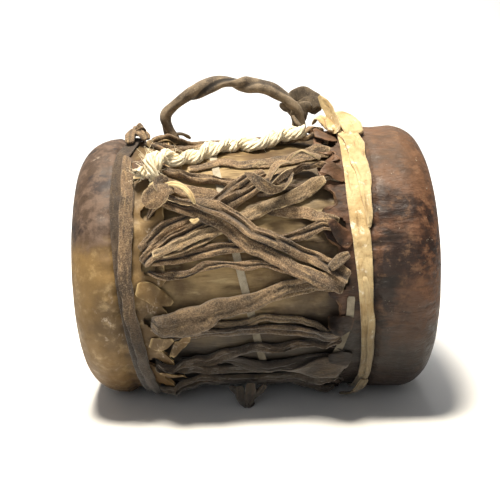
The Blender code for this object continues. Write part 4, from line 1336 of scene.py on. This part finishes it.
def make_rope():
    """The white rope along the top: two slack strands of loose yarns, frayed at its left end."""
    step = ROPE_STEP
    x, arc, _ = smooth_route(ROPE_ROUTE, [1], step)
    radius = sizes().rope_strand / 2
    breadth = (-1.4, -0.7, 0, 0.7, 1.4)
    needed = np.stack([ground().at(x, (arc + k * radius) / MEAN_RADIUS) for k in breadth], axis=1)
    level = drape(needed, 4, False).max(axis=1) + radius * 1.25
    middle = to_frame(x, arc / MEAN_RADIUS, level)
    up = middle - to_frame(x, arc / MEAN_RADIUS, level * 0)
    ahead = np.gradient(middle, axis=0)
    side = np.cross(ahead, up)
    side /= np.linalg.norm(side, axis=1, keepdims=True)
    up = np.cross(side, ahead)
    up /= np.linalg.norm(up, axis=1, keepdims=True)
    run = np.arange(len(x)) * step
    rng = np.random.default_rng(90)
    loose = 1 + 0.7 * np.clip(1 - run / 0.016, 0, 1) + 0.4 * np.clip(1 - run[::-1] / 0.010, 0, 1)
    bm = bmesh.new()
    for strand in (0, 1):
        turns = 2 * pi * run / sizes().rope_pitch + pi * strand + 0.5 * wander(rng, run, 0.05)
        spread = radius * 0.95 * loose
        core = middle + (spread * np.cos(turns))[:, None] * side
        core = core + (spread * 0.55 * np.sin(turns))[:, None] * up
        for yarn in range(OUTER_YARNS + 1):
            winding = 2 * pi * run / YARN_PITCH + 2 * pi * yarn / OUTER_YARNS
            offset = 0.0 if yarn == OUTER_YARNS else radius * 0.68
            rings, layers, centre = strand_rings(
                core, side, up, winding, offset * loose, radius * 0.44, 7, step, 900 + strand * 10 + yarn
            )
            part = bmesh.new()
            grid_tube(part, rings, layers)
            add_to(bm, part)
            fuzz(bm, centre, 26, 950 + strand * 10 + yarn, 0.0060, 0.00016)
            fuzz(bm, centre[:16], 7, 970 + strand * 10 + yarn, 0.0090, 0.00018)
    ground().raise_to(
        np.stack([x] * 5, axis=1),
        np.stack([(arc + k * radius) / MEAN_RADIUS for k in (-1.5, -0.8, 0, 0.8, 1.5)], axis=1),
        np.stack([level + radius * k for k in (0.2, 0.7, 0.9, 0.7, 0.2)], axis=1),
    )
    return settle_mesh(bm, "twisted_rope", "cotton", ("white_rope",))


# Scraps that lie on the laces: (name, route, widths in mm, habit, material, lift of both ends in mm)
TAB_SCRAPS = [
    ("left_tab_top", [(-79, 60), (-72, 61), (-65, 62)], [10, 12, 6], SKIN, "dark_hide", (0, 2.5)),
    ("left_tab_ochre", [(-72, 83), (-60, 84), (-48, 84), (-40, 84)],
     [5, 9, 8, 3], SKIN, "tan_hide", (0, 0.5)),
    ("left_tab_middle", [(-76, 4), (-69, 3), (-62, 0), (-54, -3)],
     [10, 13, 11, 4], SKIN, "tan_hide", (0, 2.5)),
    ("left_tab_pale", [(-78, 53), (-73, 54), (-69, 56)], [3, 4, 2], SKIN, "buckskin", (0, 0)),
]
LATE_SCRAPS = [
    ("left_tab_low", [(-70, -20), (-62, -21), (-55, -19)], [9, 11, 3], SKIN, "tan_hide", (0, 2.5)),
    ("left_tab_curl", [(-57, -28), (-51, -24), (-45, -17)], [5, 8, 4], SKIN, "tan_hide", (2, 2.5)),
    ("left_tab_foot", [(-66, -36), (-58, -38), (-50, -43)], [8, 9, 3], SKIN, "tan_hide", (0, 1.5)),
    ("right_tab_top", [(60, 48), (51, 49), (43, 48)], [10, 11, 2], SKIN, "dark_hide", (0, 2)),
    ("right_tab_high", [(57, 60), (50, 58), (44, 56)], [8, 9, 2], SKIN, "dark_hide", (0, 1.5)),
    ("right_tab_crown", [(58, 76), (50, 75), (43, 74)], [13, 13, 6], SKIN, "dark_hide", (0, 2)),
    ("right_tab_middle", [(60, 19), (54, 22), (46, 27)], [11, 11, 5], SKIN, "dark_hide", (0, 2.5)),
    ("right_curl_ribbed", [(58, 15), (52, 13), (45, 10)], [5, 7, 5], ROLLED, "suede", (0, 1)),
    ("right_tab_low", [(60, -14), (52, -13), (44, -12)], [11, 12, 4], SKIN, "dark_hide", (0, 1.5)),
    ("right_tab_foot", [(60, -32), (52, -30), (45, -30)], [10, 10, 4], SKIN, "dark_hide", (0, 1.5)),
]


def make_scraps(scraps, seed):
    """Lays curled scraps of torn tabs."""
    for index, (name, route, widths, habit, kind, lift) in enumerate(scraps):
        lay_strap(name, route, widths, habit, seed + index, kind, lift=lift, stiff=0.7)


# Belts


def make_left_belt():
    """The dark suede belt: two strands that cross on the front, tied on top."""
    first = [(-79.5, 90), (-84, 75), (-87, 60), (-87.5, 45), (-86.5, 30), (-85, 15), (-83, 0), (-80, -20)]
    first += [(-77.5, -40), (-76, -62), (-78, -90), (-81, -120), (-82, -150), (-82, -180), (-82, -210)]
    first += [(-81, -240), (-79.5, -270)]
    lay_strap(
        "left_belt_suede", first, [8.5, 8, 8.5, 9, 9, 9, 8.5, 9, 9, 8.5], BELT, 101,
        "suede", ("left_belt",), closed=True, stiff=0.25,
    )
    second = [(-83, 66), (-81.5, 54), (-81, 40), (-81.5, 25), (-82, 10), (-81, -4), (-77.5, -20), (-74, -40)]
    second += [(-72, -60), (-73, -80)]
    lay_strap(
        "left_belt_second", second, [5, 8.5, 8.5, 8, 7, 6, 5], THIN_BELT, 102, "suede", stiff=0.3
    )
    ribbons(
        "left_belt_knot",
        [
            ([(-83, 78, 93), (-83, 84, 97), (-80, 89, 99), (-75, 93, 97)],
             [6, 7, 7, 5], 3.0, {"roll": (0, 30)}),
            ([(-86, 86, 93), (-82, 87, 98), (-77, 84, 98), (-72, 80, 94)],
             [4, 6, 6, 4], 2.6, {"roll": (10, -30)}),
            ([(-80, 95, 94), (-79, 90, 100), (-78, 83, 97)], [5, 6, 5], 2.6, {"roll": (0, 0)}),
            ([(-77, 90, 95), (-75, 88, 100), (-76, 85, 102), (-79, 84, 100)],
             [4, 6, 5, 3], 1.6, {"roll": (40, 60)}),
            ([(-85, 90, 92), (-81, 91, 96), (-76, 90, 96), (-72, 88, 92)], [7, 9, 9, 6], 4.0, {}),
        ],
        "suede",
    )


def make_right_belt():
    """The cream buckskin belt: two folded layers, broad over the top, with a tied knot and a short tail."""
    first = [(66.5, 90), (66, 70), (65, 55), (64.5, 42), (65.5, 28), (67, 14), (68, 0), (69, -15), (70, -30)]
    first += [(70, -45), (69.5, -65), (69, -90), (68, -130), (68, -180), (68, -230), (66.5, -270)]
    widths = [14, 13, 12, 11.5, 12, 11, 9, 7.5, 7, 7, 8, 9, 11, 12, 13, 14]
    lay_strap(
        "right_belt_buckskin", first, widths, CREAM, 111,
        "buckskin", ("right_belt",), closed=True, stiff=0.3,
    )
    second = [(62, 96), (64, 84), (68, 70), (70, 56), (71, 44), (71.5, 33), (71.5, 25)]
    lay_strap(
        "right_belt_fold", second, [11, 13, 13, 11.5, 9, 5.5, 2.5], CREAM_FOLD, 112,
        "buckskin", stiff=0.5,
    )
    third = [(67, 6), (70, -6), (72, -20), (72.5, -34), (71, -48)]
    lay_strap(
        "right_belt_strand", third, [3, 4.5, 5, 4.5, 3], CREAM_STRAND, 113,
        "buckskin", stiff=0.4,
    )
    ribbons(
        "right_belt_knot",
        [
            ([(71, 74, 96), (69, 80, 100), (64, 86, 103), (58, 91, 103), (54, 95, 97)],
             [13, 15, 15, 13, 9], 4.0,
             {"roll": (0, 10, 20), "fold": 0.15}),
            ([(60, 76, 97), (58, 81, 103), (55.5, 84, 109), (52, 86, 114), (49, 87, 118)],
             [9, 10, 10, 8, 3], 1.6,
             {"roll": (60, 80, 95), "cup": 0.15, "fold": 0.1}),
            ([(65, 94, 96), (61, 90, 102), (57, 84, 102), (55, 77, 97)], [8, 10, 9, 5], 3.4,
             {"roll": (-10, 10), "fold": 0.2}),
            ([(54, 80, 97), (51, 83, 102), (48, 87, 103), (45, 90, 98)],
             [4, 6, 6, 4], 2.0, {"roll": (30, 20)}),
        ],
        "buckskin",
    )
    ribbons(
        "right_belt_tail",
        [
            ([(71, -46, 96), (68, -54, 98), (63, -60, 99), (57, -64, 98)],
             [6, 7.5, 7, 3], 1.8, {"roll": (0, 20)}),
        ],
        "buckskin",
    )


# Handle and knots

HANDLE_LOOP = [(-55, 87), (-57, 94), (-60, 101), (-60, 109), (-50, 117), (-34, 126), (-18, 129), (2, 127)]
HANDLE_LOOP += [(17, 124), (27, 117), (34, 109), (37, 100), (37, 89)]
# Angle at the handle's feet in degrees, its rings, the passes that smooth its middle, and metres a twist
HANDLE_LEAN = 99.5
HANDLE_RINGS = 260
HANDLE_PASSES = 60
HANDLE_TWIST = 0.100


def make_handle():
    """The carrying loop: a leather strap wrung into a cord, with its ends knotted at its feet."""
    places = []
    for x, radius in HANDLE_LOOP:
        upright = max(0, (radius - 95) / 60)
        places.append((x * MM, radians(HANDLE_LEAN + (90 - HANDLE_LEAN) * upright), radius * MM))
    places = np.array(places)
    spots = to_frame(places[:, 0], places[:, 1], places[:, 2])
    run = np.concatenate([[0], np.cumsum(np.linalg.norm(np.diff(spots, axis=0), axis=1))])
    at = np.linspace(0, run[-1], HANDLE_RINGS)
    middle = np.stack([np.interp(at, run, spots[:, k]) for k in range(3)], axis=1)
    for _ in range(HANDLE_PASSES):
        middle[1:-1] = (middle[:-2] + middle[1:-1] * 2 + middle[2:]) / 4
    rng = np.random.default_rng(121)
    middle[:, 2] += 0.0008 * wander(rng, at, 0.05)
    ahead = np.gradient(middle, axis=0)
    ahead /= np.linalg.norm(ahead, axis=1, keepdims=True)
    side = np.cross(ahead, [0, 1, 0])
    side /= np.linalg.norm(side, axis=1, keepdims=True)
    out = np.cross(side, ahead)
    corners = 32
    corner = 2 * pi * np.arange(corners) / corners
    twist = 2 * pi * (at / HANDLE_TWIST) + 0.7 * wander(rng, at, 0.07)
    local = corner[None, :] - twist[:, None]
    flat = 0.86 + 0.16 * np.cos(2 * local)
    groove_one = np.exp(-(((np.cos(local - 0.9) - 1) / 0.10) ** 2))
    groove_two = 0.6 * np.exp(-(((np.cos(local + 1.6) - 1) / 0.06) ** 2))
    hollow = np.clip(groove_one + groove_two, 0, 1)
    thick = sizes().handle_thickness / 2 * (1 + 0.10 * wander(rng, at, 0.04))
    reach = thick[:, None] * (flat * (1 - 0.26 * hollow) + 0.03 * np.sin(7 * local) + 0.08)
    spread = np.cos(corner)[None, :, None] * side[:, None, :]
    spread = spread + np.sin(corner)[None, :, None] * out[:, None, :]
    rings = middle[:, None, :] + spread * reach[..., None]
    whole = np.ones((len(at), corners))
    layers = {
        # The hollow layer marks the grooves of the twist, where the finish paints shade
        "hollow": hollow,
        "pale": 0.25 * (np.cos(2 * local) > 0.93) * whole,
        "tone": 0 * whole,
        "along": at[:, None] * whole,
        "across": corner[None, :] * 0.005 * whole,
    }
    bm = bmesh.new()
    grid_tube(bm, rings, layers)
    settle_mesh(bm, "handle_loop", "dark_leather", ("handle",))
    ribbons(
        "handle_right_knot",
        [
            ([(28, 96, 113), (34, 97, 117), (40, 98, 117), (46, 98, 113), (50, 97, 106)],
             [6, 13, 17, 16, 8], 1.8,
             {"roll": (75, 88, 95), "cup": 0.1, "fold": 0.1}),
            ([(31, 96, 103), (37, 97, 109), (43, 97, 112), (50, 96, 113), (54, 95, 110)],
             [8, 12, 12, 9, 4], 1.8,
             {"roll": (60, 85, 100), "fold": 0.1}),
            ([(34, 98, 95), (36, 98, 103), (39, 97, 109), (45, 96, 112)],
             [10, 12, 11, 5], 3.4, {"roll": (50, 80)}),
            ([(24, 96, 113), (29, 99, 109), (33, 97, 103), (36, 94, 96)],
             [6, 9, 9, 7], 3.2, {"roll": (0, 40)}),
        ],
        "dark_leather",
    )
    ribbons(
        "handle_left_wrap",
        [
            ([(-43, 101, 91), (-48, 100, 94), (-55, 100, 94), (-60, 101, 91)],
             [5, 7, 7, 4], 2.4, {"roll": (0, 20)}),
        ],
        "dark_leather",
    )


def make_knots():
    """The bow on the front, the flap and curls beside it, and the knot that hangs under the drum."""
    edge = {"pale": 0.8, "fold": 0.1}
    ribbons(
        "bow_loops",
        [
            ([(-5, 47, 102), (0, 44, 104), (6, 40.5, 105), (12, 38.5, 105), (20, 39.5, 103.5)],
             [1.5, 6, 8, 6.5, 1.5], 1.4, {**edge, "roll": (-35, -55, -40), "cup": 0.35}),
            ([(9, 41.5, 102.5), (12, 45, 105), (16, 48, 106), (21, 49.5, 105), (24, 50, 103)],
             [2.5, 5, 6.5, 6, 3], 1.5, {**edge, "roll": (40, 15), "cup": 0.3, "tone": 0.2}),
            ([(10, 39.5, 102.5), (14, 41, 106), (19, 43.5, 106.5), (25, 47, 104)], [2, 4, 4.5, 1.5], 1.6,
             {**edge, "roll": (-40, -60), "cup": 0.3}),
            ([(18, 38.5, 103), (22, 41, 105), (25, 45, 104.5)],
             [1.5, 4, 1.5], 1.6, {**edge, "roll": (40, 60)}),
            ([(2, 40, 101.5), (8, 41.5, 103), (15, 43, 103.5), (22, 43.5, 101.5)], [4, 6, 7, 4], 2.6,
             {"tone": -1.0, "fold": 0.5}),
            ([(0, 50, 101), (5, 51, 102.5), (10, 51, 101.5)], [2, 4, 2], 1.4, {**edge, "tone": 0.6}),
        ],
        "suede",
        ("bow_knot",),
    )
    ribbons(
        "curled_thong",
        [
            ([(22, 52, 101), (27, 55, 102.5), (32, 56, 103), (38, 55, 102), (44, 54, 100)], [3, 4, 5, 4], 2.2,
             {"roll": (0, 60, 0), "pale": 0.8, "tone": 0.3}),
        ],
        "suede",
    )
    ribbons(
        "fan_flap",
        [
            ([(-50, 41, 101), (-54, 40.5, 104), (-58, 39, 105), (-63, 37, 104), (-68, 35, 101)],
             [5, 9, 14, 15, 9], 1.3, {"roll": (0, 15, 25), "pale": 0.7, "fold": 0.05, "cup": -0.12}),
            ([(-53, 43, 102), (-57, 44, 104.5), (-60, 42, 105.5), (-59, 39, 104.5)], [4, 7, 7, 5], 1.2,
             {"roll": (20, 50), "pale": 0.8, "fold": 0.1, "tone": -0.2}),
        ],
        "suede",
    )
    ribbons(
        "cream_curl",
        [
            ([(-66, 43, 100), (-61, 44, 102), (-55, 42.5, 102)],
             [2, 4, 2.5], 1.2, {"fold": 0.1, "roll": (0, 25)}),
            ([(-57, 42.5, 101.5), (-51, 42.5, 103.5), (-45, 41, 104.5), (-40, 38, 104), (-37, 35, 101)],
             [2.4, 4, 4.2, 3.6, 2.2], 2.6, {"fold": 0.45, "roll": (0, 20)}),
            ([(-40, 29, 101), (-37.5, 28, 103), (-35, 29, 102)], [2, 3.4, 2.4], 2.4, {"fold": 0.3}),
        ],
        "buckskin",
        ("buckskin_strip",),
    )
    ribbons(
        "hanging_loops",
        [
            ([(4, -54, 93), (-2, -57, 98), (-8, -58, 101), (-13, -57, 98), (-20, -54, 93)],
             [5, 8, 9, 8, 5], 2.6, {}),
            ([(-6, -48, 94), (-7, -54, 101), (-9, -60, 105), (-12, -62, 103)],
             [6, 8, 8, 5], 2.4, {"roll": (0, 40)}),
            ([(-14, -50, 95), (-12, -56, 103), (-8, -60, 106), (-4, -60, 103)],
             [5, 8, 8, 4], 2.2, {"roll": (0, -30)}),
        ],
        "suede",
        ("hanging_knot",),
    )


# Stage

# The photograph's camera: yaw, rise and roll in degrees, target and distance in metres, and lens in mm
CAMERA_ANGLES = (-0.81, 13, -1.95)
CAMERA_TARGET = (-0.0026, 0, 0.0081)
CAMERA_DISTANCE = 0.6074
CAMERA_LENS = 59.67

def aim(thing, target):
    """Turns a lamp towards a point."""
    way = Vector(target) - thing.location
    thing.rotation_euler = way.to_track_quat("-Z", "Y").to_euler()


def lamp(name, place, size, power, colour, target=(0, 0, 0.09)):
    """A round area lamp that points at a target."""
    data = bpy.data.lights.new(name, "AREA")
    data.shape = "DISK"
    data.size = size
    data.energy = power
    data.color = linear(colour)
    made = bpy.data.objects.new(name, data)
    bpy.context.scene.collection.objects.link(made)
    made.location = place
    aim(made, target)


def make_stage():
    """A pale floor that sweeps up behind, soft lamps from above, and the photograph's camera."""
    bm = bmesh.new()
    bmesh.ops.create_grid(bm, x_segments=48, y_segments=96, size=3.0)
    for vertex in bm.verts:
        beyond = max(0.0, vertex.co.y - 1.2)
        vertex.co.z = beyond**2 * 0.9
    mesh = bpy.data.meshes.new("floor")
    bm.to_mesh(mesh)
    bm.free()
    mesh.shade_smooth()
    floor = bpy.data.objects.new("floor", mesh)
    bpy.context.scene.collection.objects.link(floor)
    mesh.materials.append(look_of("floor"))

    lamp("key_softbox", (-0.16, -0.22, 1.15), 0.28, 27.0, "#FFF6E6")
    lamp("front_fill", (-0.30, -1.30, 0.75), 0.9, 1.9, "#F4F7FF")
    lamp("backdrop_wash", (0.0, 0.45, 1.1), 0.6, 26.0, "#FFFFFF", (0, 1.9, 0.25))
    world = bpy.data.worlds.new("studio")
    bpy.context.scene.world = world
    world.use_nodes = True
    world.node_tree.nodes["Background"].inputs[0].default_value = (*linear("#FFFFFF"), 1)
    world.node_tree.nodes["Background"].inputs[1].default_value = 0.17
    bpy.context.scene.view_settings.view_transform = "Standard"

    yaw, rise, roll = (radians(angle) for angle in CAMERA_ANGLES)
    back = Vector((sin(yaw) * cos(rise), -cos(yaw) * cos(rise), sin(rise)))
    right = Vector((cos(yaw), sin(yaw), 0))
    up = back.cross(right)
    right = right * cos(roll) + up * sin(roll)
    up = back.cross(right)
    place = Vector(CAMERA_TARGET) + back * CAMERA_DISTANCE
    view = Matrix((right, up, back)).transposed().to_4x4()
    data = bpy.data.cameras.new("camera")
    data.lens = CAMERA_LENS
    data.sensor_width = 36
    data.dof.use_dof = False
    camera = bpy.data.objects.new("camera", data)
    bpy.context.scene.collection.objects.link(camera)
    camera.matrix_world = DRUM @ Matrix.Translation(place) @ view
    bpy.context.scene.camera = camera


class DRUM_OT_stage(bpy.types.Operator):
    """Make the floor, the lamps and the camera"""

    bl_idname = "drum.stage"
    bl_label = "Stage"

    def execute(self, context):
        make_stage()
        return {"FINISHED"}


class DRUM_OT_shell(bpy.types.Operator):
    """Make the hollow log"""

    bl_idname = "drum.shell"
    bl_label = "Shell"

    def execute(self, context):
        make_shell()
        return {"FINISHED"}


class DRUM_OT_heads(bpy.types.Operator):
    """Make both rawhide heads with their torn tabs"""

    bl_idname = "drum.heads"
    bl_label = "Heads"

    def execute(self, context):
        make_head(LEFT, "left_rawhide", "left_head", "tan_hide")
        make_head(RIGHT, "right_rawhide", "right_head", "dark_hide")
        return {"FINISHED"}


class DRUM_OT_tapes(bpy.types.Operator):
    """Lay the cotton tapes on the shell"""

    bl_idname = "drum.tapes"
    bl_label = "Tapes"

    def execute(self, context):
        make_tapes()
        return {"FINISHED"}


class DRUM_OT_laces(bpy.types.Operator):
    """Lay the suede thongs and the tabs under them, the back ones first"""

    bl_idname = "drum.laces"
    bl_label = "Laces"

    def execute(self, context):
        make_laces("back", back_laces(), 200)
        make_scraps(TAB_SCRAPS, 400)
        make_laces("front", front_laces(), 300)
        return {"FINISHED"}


class DRUM_OT_rope(bpy.types.Operator):
    """Lay the white rope on the laces, then the torn tabs that curl over them"""

    bl_idname = "drum.rope"
    bl_label = "Rope"

    def execute(self, context):
        make_rope()
        make_scraps(LATE_SCRAPS, 430)
        return {"FINISHED"}


class DRUM_OT_belts(bpy.types.Operator):
    """Lay both belts and tie their knots"""

    bl_idname = "drum.belts"
    bl_label = "Belts"

    def execute(self, context):
        make_left_belt()
        make_right_belt()
        return {"FINISHED"}


class DRUM_OT_handle(bpy.types.Operator):
    """Make the twisted handle with its knotted feet"""

    bl_idname = "drum.handle"
    bl_label = "Handle"

    def execute(self, context):
        make_handle()
        return {"FINISHED"}


class DRUM_OT_knots(bpy.types.Operator):
    """Tie the bow, the curls beside it and the hanging knot"""

    bl_idname = "drum.knots"
    bl_label = "Knots"

    def execute(self, context):
        make_knots()
        return {"FINISHED"}


STEPS = (
    DRUM_OT_stage,
    DRUM_OT_shell,
    DRUM_OT_heads,
    DRUM_OT_tapes,
    DRUM_OT_laces,
    DRUM_OT_rope,
    DRUM_OT_belts,
    DRUM_OT_handle,
    DRUM_OT_knots,
)


class DRUM_PT_panel(bpy.types.Panel):
    """Sidebar panel that lists the drum's settings and steps"""

    bl_idname = "DRUM_PT_panel"
    bl_label = "Laced log drum"
    bl_space_type = "VIEW_3D"
    bl_region_type = "UI"
    bl_category = "Drum"

    def draw(self, context):
        for group in (context.scene.drum_sizes, context.scene.drum_colours):
            box = self.layout.box()
            for name in group.bl_rna.properties.keys():
                if name not in ("rna_type", "name"):
                    box.prop(group, name)
        for step in STEPS:
            self.layout.operator(step.bl_idname)


CLASSES = (DrumSizes, DrumColours, *STEPS, DRUM_PT_panel)


def register():
    """Registers the settings, the steps and the panel."""
    for made in CLASSES:
        bpy.utils.register_class(made)
    bpy.types.Scene.drum_sizes = PointerProperty(type=DrumSizes)
    bpy.types.Scene.drum_colours = PointerProperty(type=DrumColours)


def unregister():
    """Takes the settings, the steps and the panel out again."""
    del bpy.types.Scene.drum_colours
    del bpy.types.Scene.drum_sizes
    for made in reversed(CLASSES):
        bpy.utils.unregister_class(made)


def main():
    """Builds the drum step by step."""
    register()
    bpy.ops.drum.stage()
    bpy.ops.drum.shell()
    bpy.ops.drum.heads()
    bpy.ops.drum.tapes()
    bpy.ops.drum.laces()
    bpy.ops.drum.rope()
    bpy.ops.drum.belts()
    bpy.ops.drum.handle()
    bpy.ops.drum.knots()


if __name__ == "__main__":
    main()
